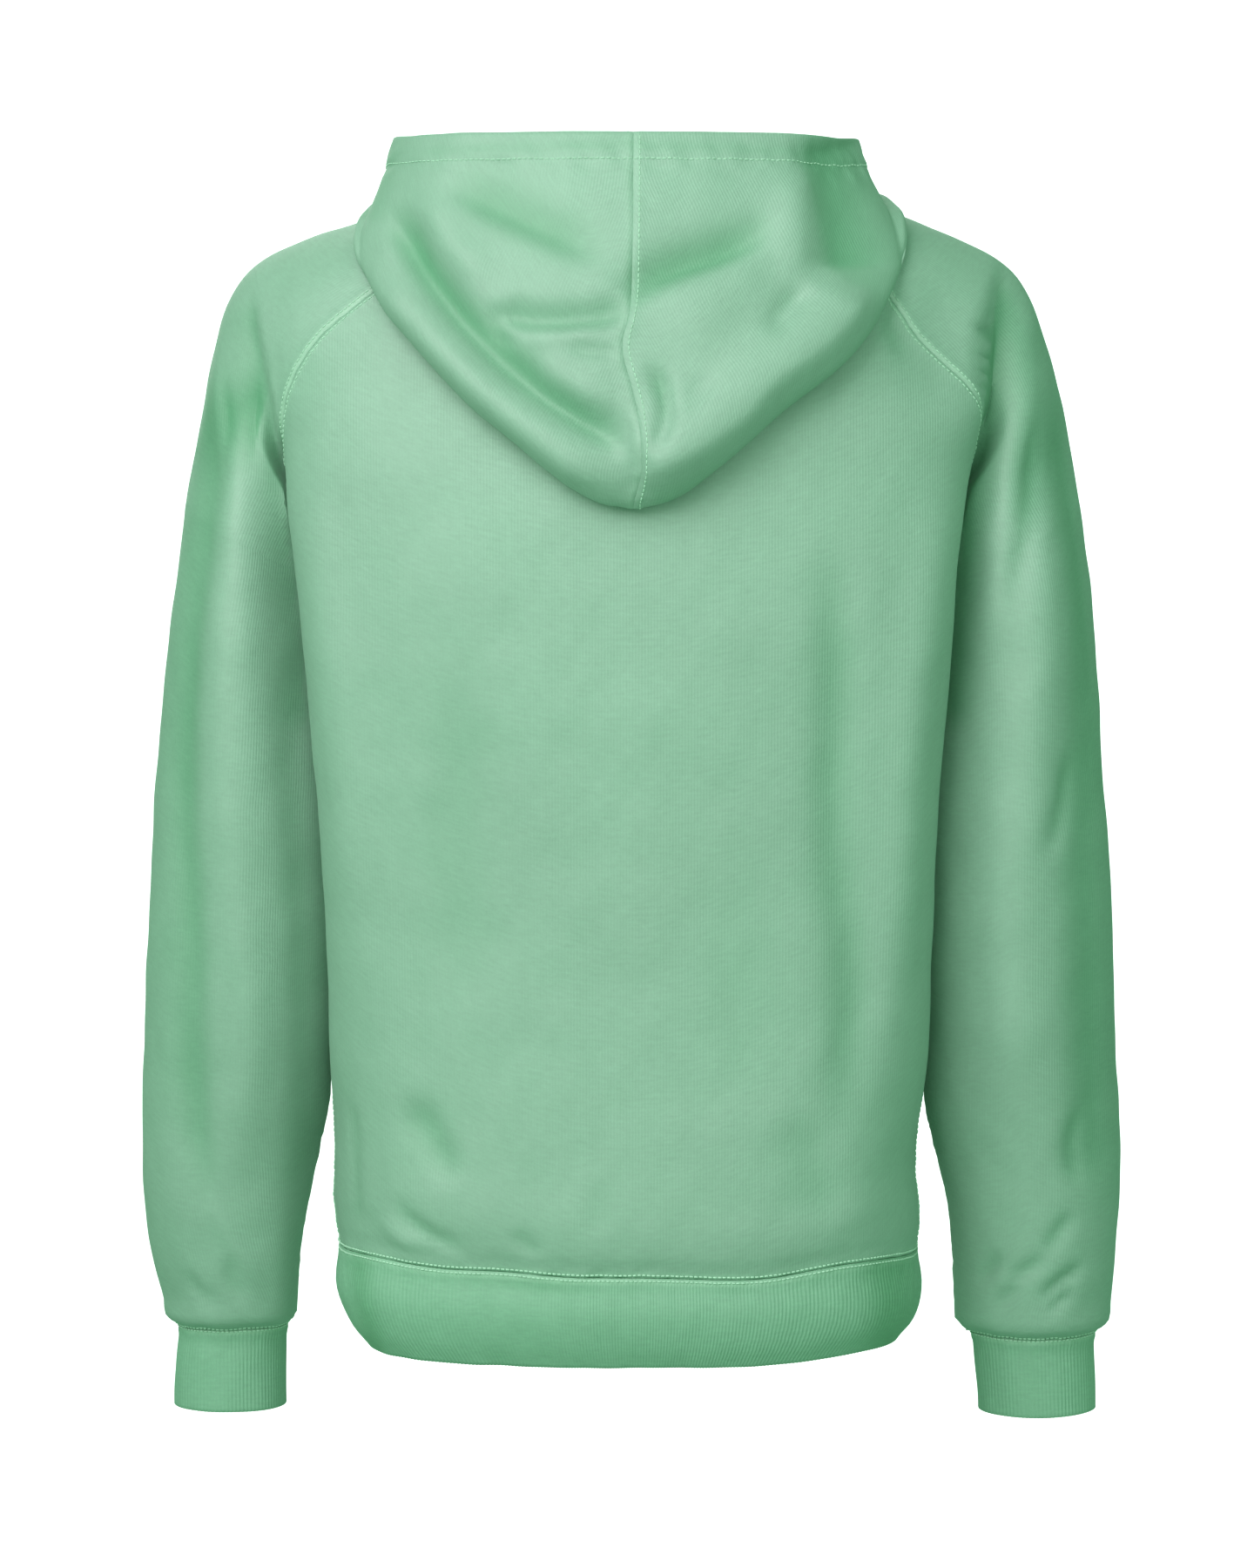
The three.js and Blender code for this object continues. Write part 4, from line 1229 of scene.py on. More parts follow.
@dataclass(frozen=True)
class TapeFinish:
    """Woven zip tape, or the moulded teeth on it."""

    name: str
    colour: Colour
    roughness: float
    weave: float

    def make(self) -> bpy.types.Material:
        """Returns the material."""
        graph = Graph(self.name)
        place = graph.place()
        colour = graph.drifting(self.colour, 0.7, graph.noise(place, 240.0), 0.4)
        woven = {"Vector": place, "Scale": self.weave, "Distortion": 0.4}
        thread = graph.add("TexWave", woven, bands_direction="Z").outputs["Fac"]
        normal = graph.bump(thread, 0.00015, 0.5)
        return graph.finish(Base_Color=colour, Roughness=self.roughness, Normal=normal)


@dataclass(frozen=True)
class MetalFinish:
    """Satin metal of the slider and its tab."""

    name: str
    colour: Colour

    def make(self) -> bpy.types.Material:
        """Returns the material."""
        graph = Graph(self.name)
        place = graph.place()
        brush = graph.noise(graph.stretch(place, (2600.0, 2600.0, 260.0)), 1.0, 3.0)
        rubbed = graph.spread(graph.noise(place, 300.0), 0.3, 0.7, 0.26, 0.42)
        normal = graph.bump(brush, 0.0001, 0.25)
        return graph.finish(Base_Color=self.colour, Metallic=1.0, Roughness=rubbed, Normal=normal)


CLOTH = ClothFinish(
    "mint_sweatshirt_cloth",
    colour=(0.29, 0.485, 0.368, 1),
    # deep is the colour of painted shade in the troughs and shade patches.
    deep=(0.13, 0.37, 0.21, 1),
    pale=(0.42, 0.66, 0.50, 1),
)
BAND = ClothFinish(
    "mint_rib_cloth",
    colour=(0.245, 0.495, 0.335, 1),
    # deep is the colour of painted shade in the troughs and shade patches.
    deep=(0.12, 0.36, 0.19, 1),
    pale=(0.36, 0.62, 0.44, 1),
    wale=1.2,
    relief=0.3,
)
THREAD = ThreadFinish("mint_thread", (0.55, 0.84, 0.65, 1))
TAPE = TapeFinish("mint_zip_tape", (0.22, 0.47, 0.31, 1), 0.8, 900.0)
TEETH = TapeFinish("mint_zip_teeth", (0.24, 0.50, 0.33, 1), 0.38, 300.0)
METAL = MetalFinish("satin_metal", (0.56, 0.57, 0.56, 1))


# ---- Stitching -------------------------------------------------------------------------------------------


@dataclass
class Stitching:
    """Rows of stitches, each a small rounded bar, gathered into one object.

    Attributes:
        name: The object's name.
        length: Length of a stitch.
        pitch: From one stitch to the next.
        radius: Half the thread's thickness.
        proud: How far the thread's middle stands off the cloth.
    """

    name: str
    length: float = 2.7
    pitch: float = 3.4
    radius: float = 0.38
    proud: float = 0.12
    sides: int = 6
    points: list[Array] = field(default_factory=list)

    def run(self, path: Array, normals: Array) -> None:
        """Lays a row of stitches.

        Args:
            path: Its line on the cloth.
            normals: The ways out of the cloth along it.
        """
        at = travelled(path)
        places = np.arange(self.pitch / 2, at[-1] - self.pitch / 2, self.pitch)
        centre = on_path(places, at, path)
        out = unit(on_path(places, at, normals))
        way = unit(on_path(places + 1, at, path) - centre)
        across = unit(np.cross(way, out))
        middle = centre + out * self.proud
        reach = self.length / 2
        angles = np.arange(self.sides) * 2 * math.pi / self.sides
        ring = across[:, None] * np.cos(angles)[None, :, None] + out[:, None] * np.sin(angles)[None, :, None]
        slack = reach - self.radius
        rings = [middle[:, None] + ring * self.radius + (way * end * slack)[:, None] for end in (-1, 1)]
        tips = [(middle + end * way * reach)[:, None] for end in (-1, 1)]
        self.points.append(np.concatenate([tips[0], *rings, tips[1]], axis=1))

    def make(self, material: bpy.types.Material, slot: str) -> None:
        """Makes all rows as one dressed object.

        Args:
            material: The thread's material.
            slot: Its slot in the record; not used.
        """
        points = np.concatenate(self.points)
        count, each = points.shape[:2]
        n = self.sides
        turns = [(i, (i + 1) % n) for i in range(n)]
        block = [[0, 1 + j, 1 + i] for i, j in turns]
        block += [[each - 1, 1 + n + i, 1 + n + j] for i, j in turns]
        block += [[1 + i, 1 + j, 1 + n + j, 1 + n + i] for i, j in turns]
        dress(make_object(self.name, points.reshape(-1, 3), repeated(block, count, each)), material)


# ---- The garment -----------------------------------------------------------------------------------------


@dataclass
class Garment:
    """All the cloth of the hoodie.

    Attributes:
        step: Usual distance between the points of its grids, and hood_step of the hood's.
        cap_length: Length of cloth from the neck to the underarm, which sets the grids' rows.
        skirt_length: Length of cloth from the underarm to the hem band, and arm_length to the cuff.
        back_width: Width of the back's grid; the next two are a front's and a sleeve's, all round.
        hood_width: Width of the grid of a hood half, from the centre seam to the front.
        rib: Width of a rib of the bands, and rib_depth half of its depth.
        band_step: Usual distance between the rows of the bands' grids.
        hem_round: Width of the hem band's grid, and hem_height its height.
        cuff_round: Width of a cuff's grid, and cuff_length its length.
        cuff_narrow: A cuff's width just below its seam and at its edge, as shares of the sleeve's.
        seam_row: From a seam to the stitches beside it; the next three are the same from the zip, the hood's
            centre seam and its rim.
        body_join: From the seams of the bands to their stitches; the next two on a sleeve and on a cuff.
        pocket_rows: From a pocket's edges to the rows of stitches beside them.
        pocket_width: Width of a pocket's grid, and pocket_height its height.
        pocket_hand: Share of the front from the zip to a pocket's hand opening, at its rows.
        pocket_near: The same to its other edge.
        pocket_lift: How far a pocket stands off the front at its seams, and how much more inside them.
        sheets: The pieces, under their names.
    """

    figure: Figure = Figure()
    step: float = 4.2
    cap_length: float = 270
    skirt_length: float = 422
    arm_length: float = 515
    back_width: float = 480
    front_width: float = 215
    sleeve_width: float = 390
    hood_step: float = 3.3
    hood_width: float = 390
    rib: float = 2.4
    rib_depth: float = 0.2
    band_step: float = 4.4
    hem_round: float = 950
    hem_height: float = 55
    cuff_round: float = 200
    cuff_length: float = 52
    cuff_narrow: tuple[float, float] = (0.98, 0.97)
    seam_row: float = 3.2
    zip_row: float = 5
    centre_row: float = 4
    hem_row: float = 18
    body_join: float = 2
    sleeve_join: float = 2.4
    cuff_join: float = 1.8
    pocket_rows: tuple[tuple[Edge, tuple[float, ...]], ...] = (
        (Edge.FIRST, (3, 19)), (Edge.TOP, (2.6,)), (Edge.LAST, (2.6, 8.5)),
    )
    pocket_width: float = 110
    pocket_height: float = 196
    pocket_hand: Table = Table(
        "row reach", ((1.52, 0.5), (1.66, 0.6), (1.78, 0.69), (1.87, 0.76), (1.94, 0.82), (1.98, 0.83))
    )
    pocket_near: float = 0.1
    pocket_lift: tuple[float, float] = (2.2, 2.6)
    sheets: dict[str, Sheet] = field(default_factory=dict)

    def __post_init__(self) -> None:
        """Works out the rows that the pieces share along their seams."""
        self.hood_form = HoodForm(self.figure)
        self.cap_rows = knots(self.cap_length, self.step, last=False)
        self.body_rows, self.sleeve_rows = (
            np.append(self.cap_rows, 1 + knots(length, self.step, first=False)[1:])
            for length in (self.skirt_length, self.arm_length)
        )

    def add(self, name: str, grid: Array, side: int, **sizes: object) -> Sheet:
        """Returns a new sheet, kept under its name, and flipped where its side is below zero."""
        self.sheets[name] = Sheet(name, grid, side < 0, **sizes)
        return self.sheets[name]

    def cut_body(self) -> None:
        """Makes the back, the fronts and the sleeves."""
        across = 2 * knots(self.back_width, self.step)[None, :] - 1
        rows = self.body_rows[:, None]
        sewn = {"seams": tuple(Edge), "folds": BODY_FOLDS}
        self.add("back", self.figure.back_point(rows, across), 1, own_folds=BACK_FOLDS, **sewn)
        inward = knots(self.front_width, self.step)[None, :]
        around = 2 * knots(self.sleeve_width, self.step + 0.3)[None, :] - 1
        for name, side in SIDES.items():
            grid = self.figure.front_point(side, rows, inward)
            self.add(f"front_{name}", grid, side, own_folds=folds_of(FRONT_FOLDS, name), **sewn)
            grid = self.figure.sleeve_point(side, self.sleeve_rows[:, None], around)
            own = folds_of(SLEEVE_FOLDS, name)
            self.add(f"sleeve_{name}", grid, side, own_folds=own, shades=SLEEVE_SHADES, **sewn)

    def ribbed(self, width: float) -> Array:
        """Returns the columns of a band of this width, from -1 to 1, with four to a rib."""
        return np.linspace(-1, 1, 4 * int(width / self.rib) + 1)[None, :]

    def cut_bands(self) -> None:
        """Makes the hem band and the cuffs."""
        figure = self.figure
        share, around = (self.ribbed(width) for width in (self.hem_round, self.cuff_round))
        down = knots(self.hem_height, self.band_step)[:, None]
        z = lerp(figure.hem_seam, figure.hem_edge, down) + 0 * share
        end = math.pi - np.arcsin(figure.front_edge / figure.torso.read("front", z))
        band = {"thickness": BAND_THICK, "seams": (Edge.TOP,)}
        self.add("hem_band", figure.torso_point(share * end, z), 1, pucker=0.2, shades=BAND_SHADES, **band)
        down = knots(self.cuff_length, self.band_step)[:, None, None]
        upper, lower = self.cuff_narrow
        narrow = np.where(down < 0.18, lerp(1, upper, down / 0.18), lerp(upper, lower, down))
        for name, side in SIDES.items():
            top = figure.sleeve_point(side, np.array([[2.0]]), around)[0]
            fall = unit(np.array([CUFF_LEAN[name], -0.08, -1])) * down * self.cuff_length
            grid = lerp(top.mean(axis=0), top[None], narrow) + fall
            self.add(f"cuff_{name}", grid, side, pucker=0.25, **band)

    def cut_hood(self) -> None:
        """Makes the two halves of the hood."""
        up = knots(self.hood_form.up_mm, self.hood_step)[:, None]
        front = math.pi - math.asin(self.figure.front_edge / self.figure.neck_half)
        turn = front * knots(self.hood_width, self.hood_step)[None, :]
        hood = {"folds": HOOD_FOLDS, "shades": HOOD_SHADES, "gap": -0.4, "seam_lift": 0.4, "folds_from": 50}
        for name, side in SIDES.items():
            self.add(f"hood_{name}", self.hood_form.point(side, turn, up), -side, seams=(Edge.FIRST,), **hood)

    def rib_bands(self) -> None:
        """Presses the ribs into the hem band and the cuffs."""
        for name in ("hem_band", "cuff_left", "cuff_right"):
            sheet = self.sheets[name]
            wave = np.cos(np.arange(sheet.grid.shape[1]) * math.pi / 2)[None, :] * self.rib_depth
            sheet.raise_by(wave * ease(sheet.from_edge(Edge.TOP) / 5))

    def hem_hood(self) -> None:
        """Raises the drawstring tunnel along the hood's rim."""
        for name in SIDES:
            sheet = self.sheets[f"hood_{name}"]
            away = sheet.from_edge(Edge.BOTTOM)
            tunnel = 1.1 * ease((self.hem_row + 0.5 - away) / 2.5)
            sheet.raise_by(tunnel + 0.8 * ripple(sheet.grid, 17, 2) * bell((away - self.hem_row) / 12))

    def lay(self) -> None:
        """Cuts every sheet, lays its folds and works out where their seams meet."""
        self.cut_body()
        self.cut_bands()
        self.cut_hood()
        sheets = list(self.sheets.values())
        share_normals(sheets)
        for sheet in sheets:
            sheet.lay_folds()
        share_normals(sheets)
        self.hem_hood()
        share_normals(sheets)
        self.rib_bands()

    def cut_pockets(self) -> None:
        """Makes the patch pockets, laid on the fronts, with a slanting hand opening."""
        hand = self.pocket_hand
        rows = lerp(hand.rows[0][0], hand.rows[-1][0], knots(self.pocket_height, self.step))[:, None]
        share = knots(self.pocket_width, self.step)[None, :]
        inward = 1 - lerp(hand.read("reach", rows), self.pocket_near, share)
        sewn = (Edge.TOP, Edge.BOTTOM, Edge.LAST)
        for name, side in SIDES.items():
            grid = self.on_front(self.sheets[f"front_{name}"], rows + 0 * share, inward)
            seams = (Edge.TOP, Edge.LAST, Edge.FIRST)
            pocket = self.add(f"pocket_{name}", grid, side, seams=seams, is_form=False)
            away = np.min([pocket.from_edge(edge) for edge in sewn], axis=0)
            from_hand = pocket.from_edge(Edge.FIRST)
            sewn_lift, full = self.pocket_lift
            lift = sewn_lift + full * ease(away / 40) * lerp(1.2, 1, ease(from_hand / 30))
            hem = 0.7 * ease((21 - from_hand) / 2)
            pressed = -0.45 * bell((away - 3) / 2.2) + 0.3 * ripple(grid, 16, 1) * bell(away / 9)
            pocket.raise_by(lift + hem + pressed)
            pocket.find_normals()

    def on_front(self, front: Sheet, rows: Array, inward: Array) -> Array:
        """Finds places on a front's laid cloth.

        Args:
            front: The front.
            rows: Rows, from 0 at the neck to 2 at the hem band.
            inward: Shares from the side seam to the zip.

        Returns:
            The points.
        """
        columns = knots(self.front_width, self.step)
        i = np.interp(rows, self.body_rows, np.arange(len(self.body_rows)))
        j = np.interp(inward, columns, np.arange(len(columns)))
        i0 = np.minimum(i.astype(int), len(self.body_rows) - 2)
        j0 = np.minimum(j.astype(int), len(columns) - 2)
        down, along = (i - i0)[..., None], (j - j0)[..., None]
        upper, lower = (lerp(front.grid[k, j0], front.grid[k, j0 + 1], along) for k in (i0, i0 + 1))
        return lerp(upper, lower, down)

    def make(self) -> None:
        """Makes the cloth objects."""
        cloth, band = CLOTH.make(), BAND.make()
        for name, sheet in self.sheets.items():
            flat, area = CUTS[name if name in CUTS else name.split("_")[0]]
            ribbed = sheet.thickness > CLOTH_THICK
            material, slot = (band, "band_cloth") if ribbed else (cloth, "sweatshirt_cloth")
            sheet.make(material, slot, flat, area)

    def stitch(self) -> None:
        """Sews the rows along the seams, the hood's hem and the pockets."""
        body, hood, pockets = (Stitching(f"{part}_stitches") for part in ("seam", "hood", "pocket"))
        joins = Stitching("band_stitches", 2.7, 2.9, 0.55, 0.3)
        raglans = (Edge.FIRST, Edge.LAST)
        for edge in raglans:
            body.run(*self.sheets["back"].beside(edge, self.seam_row))
        for name in SIDES:
            front, sleeve, cuff, half, pocket = (
                self.sheets[f"{part}_{name}"] for part in ("front", "sleeve", "cuff", "hood", "pocket")
            )
            body.run(*front.beside(Edge.FIRST, self.seam_row))
            body.run(*front.beside(Edge.LAST, self.zip_row))
            for edge in raglans:
                body.run(*(part[: len(self.cap_rows)] for part in sleeve.beside(edge, self.seam_row)))
            joins.run(*front.beside(Edge.BOTTOM, self.body_join))
            joins.run(*sleeve.beside(Edge.BOTTOM, self.sleeve_join))
            joins.run(*cuff.beside(Edge.TOP, self.cuff_join))
            hood.run(*half.beside(Edge.BOTTOM, self.hem_row))
            for edge, distances in self.pocket_rows:
                for distance in distances:
                    pockets.run(*pocket.beside(edge, distance))
        hood.run(*self.sheets["hood_right"].beside(Edge.FIRST, self.centre_row))
        joins.run(*self.sheets["back"].beside(Edge.BOTTOM, self.body_join))
        joins.run(*self.sheets["hem_band"].beside(Edge.TOP, self.body_join))
        thread = THREAD.make()
        for rows in (body, hood, joins, pockets):
            rows.make(thread, "sweatshirt_cloth")


# Width and length of each cut and its area, under the name of a piece or of a pair.
CUTS = {
    "back": ((0.56, 0.70), 0.34),
    "front": ((0.28, 0.70), 0.16),
    "sleeve": ((0.44, 0.85), 0.30),
    "hood": ((0.30, 0.46), 0.092),
    "pocket": ((0.17, 0.20), 0.028),
    "cuff": ((0.20, 0.055), 0.0108),
    "hem_band": ((0.96, 0.057), 0.054),
}

# How far each cuff leans to the left on its way down, as a share of its fall.
CUFF_LEAN = {"left": 0.0, "right": -0.045}

TRUNK = ("back", "front", "hem")
ARM = ("sleeve", "cuff")
# Each row has the sizes of a Nudge: x, z, move, reach and the pieces moved.
NUDGES = tuple(
    Nudge(*row)
    for row in (
        (-196, -52, (17, 0), (34, 40)), (-212, -150, (9, 0), (38, 90)), (-200, -300, (6, 0), (32, 110)),
        (-190, -480, (4, 0), (26, 120)), (232, -100, (-5, 0), (34, 50)), (165, 18, (4, -5), (28, 30)),
        (-88, -104, (4, 5), (52, 36)), (176, -612, (0, 10), (36, 24), TRUNK),
        (-162, -612, (0, 11), (36, 24), TRUNK), (-190, -570, (12, 0), (44, 50), TRUNK),
        (190, -640, (4, 0), (40, 24), TRUNK), (-250, -50, (4, 0), (30, 45)),
        (-306, -480, (3.5, 0), (34, 140)), (188, -565, (-4, 0), (40, 46), TRUNK),
        (-150, -680, (0, 4), (44, 16), TRUNK), (-190, -545, (5, 0), (22, 60), ARM),
        (203, -655, (9, 0), (15, 64), ARM), (212, -722, (4, 0), (18, 40), ARM),
        (300, -672, (-6, 0), (24, 40), ARM), (250, -688, (0, 4), (70, 34), ARM),
        (-212, -684, (3, 0), (24, 26), ARM), (-248, -720, (0, -4), (70, 50), ARM),
        (130, -614, (0, 7), (50, 24), TRUNK), (78, -618, (0, 4), (34, 24), TRUNK),
        (0, -620, (0, 3.5), (70, 24), TRUNK), (-118, -616, (0, 6), (30, 24), TRUNK),
    )
)

# Each row of folds has the sizes of a Fold: line, out, left, right and taper.
BODY_FOLDS = folds(
    Face.BACK,
    (((-222, -10), (-214, -50), (-208, -90), (-200, -130)), 5.5, 20, 7, 0.3),
    (((-166, -14), (-158, -40), (-170, -68)), -3, 7, 9, 0.3),
)

BACK_FOLDS = folds(
    Face.BACK,
    (((-202, -68), (-194, -137), (-180, -216), (-170, -295), (-165, -374), (-163, -454), (-160, -522)),
      7, 15, 15),
    (((-120, -163), (-123, -216), (-126, -269), (-123, -322), (-126, -374), (-133, -417), (-136, -454),
      (-131, -506), (-126, -549)), -5, 15, 12, 0.2),
    (((112, -216), (107, -269), (110, -322), (115, -374), (104, -417), (99, -480)), -2.4, 20, 24),
    (((142, -512), (125, -538), (107, -572)), -4.5, 12, 10),
    (((210, -100), (199, -163), (186, -242), (177, -322), (173, -401), (170, -480)), 6, 14, 16),
    (((-8, -180), (-5, -280), (-12, -400), (-4, -540)), 1.6, 28, 24),
    (((-62, -370), (-66, -450), (-60, -540)), -1.8, 22, 26),
    (((44, -300), (40, -420), (48, -560)), 1.4, 22, 20),
    (((174, -520), (173, -560), (172, -606)), -2.2, 3, 3, 0.2),
    (((150, -574), (138, -592), (118, -604), (96, -612)), -3.4, 4, 6),
    (((157, -588), (146, -602), (128, -612)), 2.4, 5, 4),
    (((74, -594), (64, -606), (54, -610)), -2.2, 4, 5),
    (((22, -560), (20, -600)), -1.2, 8, 8),
    (((-96, -520), (-112, -560), (-120, -600)), -3, 24, 14),
)

FRONT_FOLDS = folds(
    Face.FRONT,
    (((150, -210), (128, -260), (112, -330), (104, -400)), -4, 16, 20),
    (((-146, -214), (-122, -270), (-110, -345), (-96, -420)), -4.5, 18, 15),
    (((70, -140), (62, -240), (58, -350)), 2.4, 18, 22),
    (((-64, -150), (-60, -250), (-66, -340)), 2.2, 20, 18),
)

SLEEVE_FOLDS = (
    *folds(
        Face.BACK,
        (((263, -72), (266, -121), (269, -164), (276, -219), (281, -273), (283, -327), (280, -382),
          (277, -436), (278, -490), (276, -555), (271, -610)), -6, 10, 12, 0.12),
        (((246, -164), (251, -219), (253, -273), (252, -327), (248, -382), (244, -436), (240, -463),
          (247, -545), (248, -599)), 4.5, 13, 16, 0.2),
        (((214, -240), (212, -327), (207, -400), (206, -490), (207, -560), (212, -620)), -3, 12, 10, 0.2),
        (((262, -97), (228, -97)), -5, 22, 22, 0.2),
        (((-238, -78), (-232, -121), (-229, -164), (-223, -219), (-219, -273)), 3, 8, 8),
        (((-252, -90), (-246, -143), (-239, -186), (-231, -230)), -4, 6, 8),
        (((-254, -140), (-253, -219), (-249, -273), (-242, -327), (-237, -382), (-236, -436), (-240, -490),
          (-240, -560)), 6.5, 20, 20, 0.2),
        (((-262, -70), (-274, -120), (-280, -164), (-286, -219), (-287, -273), (-287, -327), (-286, -380),
          (-289, -436), (-291, -490), (-293, -545), (-292, -600)), -6, 20, 14, 0.1),
        (((-274, -300), (-266, -344), (-255, -380)), -4, 6, 7),
        (((-286, -530), (-278, -556), (-284, -590)), -3, 6, 6),
        (((-290, -636), (-270, -648), (-256, -662)), -4.5, 3.5, 4),
        (((-284, -652), (-272, -660), (-262, -668)), -3.6, 3, 3),
        (((-262, -628), (-250, -640), (-236, -645)), -3.4, 4, 4),
        (((-246, -648), (-238, -656), (-230, -666)), -3.2, 3, 4),
        (((-234, -628), (-226, -642), (-217, -650)), -3, 4, 4),
        (((-280, -600), (-268, -618), (-262, -632)), -3, 5, 6),
        (((269, -590), (252, -626), (234, -654)), 1.8, 4, 5),
        (((258, -628), (254, -650), (244, -662)), -2.2, 4, 5),
        (((286, -640), (276, -655), (262, -662)), -2, 4, 4),
    ),
    *folds(
        Face.FRONT,
        (((268, -190), (258, -290), (262, -400), (256, -520)), -5, 12, 14),
        (((-264, -210), (-252, -330), (-258, -450), (-250, -560)), -5, 14, 12),
        (((228, -300), (236, -420), (226, -540)), 4, 14, 12),
        (((-226, -260), (-236, -380), (-222, -520)), 4, 12, 14),
    ),
    *folds(
        Face.LEFT,
        (((-20, -180), (-30, -300), (-26, -420), (-46, -560)), -4, 14, 16),
    ),
    *folds(
        Face.RIGHT,
        (((-24, -200), (-14, -320), (-34, -440), (-44, -570)), -4, 16, 14),
    ),
)

HOOD_FOLDS = folds(
    Face.BACK,
    (((150, 36), (141, 10), (121, -23), (94, -55), (65, -81), (38, -100), (14, -113), (-4, -119)),
      -9, 7, 15, 0.14),
    (((159, 3), (151, -19), (124, -51), (92, -83), (61, -109), (28, -133), (2, -144)), 8, 9, 12, 0.2),
    (((122, 48), (88, 29), (56, 14), (30, 2), (4, -6)), -5.5, 9, 17),
    (((84, -30), (76, -38), (59, -42), (34, -42), (16, -39), (2, -31)), -6.5, 6, 10, 0.2),
    (((22, -40), (4, -32), (-6, -22), (-18, -14), (-32, -9), (-53, -2), (-71, 8), (-92, 32)),
      -9, 8, 15, 0.4),
    (((66, -50), (38, -50), (14, -45)), 2.2, 6, 5),
    (((44, -56), (22, -61), (5, -59)), -2.6, 4, 5),
    (((82, -26), (85, -40), (80, -51), (70, -58)), -2.4, 4, 6),
    (((-2, -68), (-13, -73), (-18, -85), (-20, -99), (-15, -115), (-9, -127)), -5.5, 5, 4),
    (((-80, -54), (-88, -41), (-96, -31), (-107, -20)), -4.5, 7, 8),
    (((-30, -98), (-41, -82), (-48, -74)), -2, 6, 6),
    (((-117, 74), (-124, 38), (-129, 8), (-131, -14)), -7, 18, 24, 0.12),
    (((-100, 62), (-99, 30), (-97, 0), (-84, -26)), 4.5, 14, 12),
    (((-139, -14), (-129, -36), (-112, -55), (-79, -79), (-59, -100), (-29, -120), (6, -136)),
      12, 24, 13, 0.14),
    (((130, 44), (112, 6), (82, -22)), 4.5, 12, 14),
    (((68, -66), (36, -83), (6, -92)), 3, 10, 11),
    (((-16, -62), (-52, -28), (-88, 2)), 4, 22, 20),
)

# Painted shade on the sleeves: darker colour along the armholes, where the body shades the sleeve, and down
# their outer sides turned from the light.
SLEEVE_SHADES = folds(
    Face.BACK,
    (((-230, -8), (-224, -40), (-219, -70), (-214, -104), (-207, -150), (-200, -220), (-195, -300)),
      0.8, 2.5, 14, 0.08),
    (((-246, -20), (-242, -70), (-238, -120), (-230, -180)), 0.4, 16, 20, 0.2),
    (((237, -20), (233, -56), (229, -80), (225, -104), (218, -150), (210, -220), (205, -300)),
      0.5, 14, 2.5, 0.08),
    (((270, -92), (230, -102)), 0.5, 28, 22, 0.04),
    (((-262, -50), (-276, -120), (-285, -190), (-292, -280), (-294, -380), (-298, -480), (-300, -620)),
      0.26, 18, 30, 0.1),
    (((262, -60), (272, -120), (280, -200), (287, -300), (286, -420), (286, -560)), 0.25, 20, 12, 0.1),
)

# Painted shade on the hood: darker colour on its right side and the underside of its roll, turned from the
# light, along its creases and above the tunnel's stitching.
HOOD_SHADES = folds(
    Face.BACK,
    (((-108, 84), (-111, 48), (-119, 14), (-126, -8), (-132, -28), (-132, -44), (-122, -60), (-94, -84),
      (-60, -109), (-30, -131), (-6, -147)), 0.36, 7, 50, 0.03),
    (((144, 30), (130, -4), (104, -35), (68, -68), (34, -93), (8, -108)), 0.36, 7, 8, 0.2),
    (((22, -40), (2, -31), (-6, -22), (-18, -14), (-32, -9), (-53, -2), (-71, 8), (-92, 32)),
      0.3, 8, 11, 0.4),
    (((120, 44), (88, 28), (56, 13), (22, 0)), 0.25, 10, 12, 0.3),
    (((150, 76), (158, 48), (167, 20)), 0.35, 20, 9, 0.1),
    (((-4, -68), (-13, -73), (-18, -85), (-20, -99), (-15, -115), (-8, -130)), 0.3, 5, 8),
    (((140, 60), (70, 62), (0, 63), (-70, 61), (-112, 59)), 0.25, 4, 4, 0.1),
)

# Painted shade on the hem band: darker colour at its ends, where it turns from the light, and along its seam.
BAND_SHADES = folds(
    Face.BACK,
    (((170, -600), (168, -640), (160, -684)), 0.6, 9, 8, 0.05),
    (((-152, -600), (-158, -640), (-158, -684)), 0.75, 14, 24, 0.05),
    (((140, -618), (100, -622), (70, -628), (20, -632)), 0.25, 5, 7, 0.15),
)


# ---- The zip ---------------------------------------------------------------------------------------------


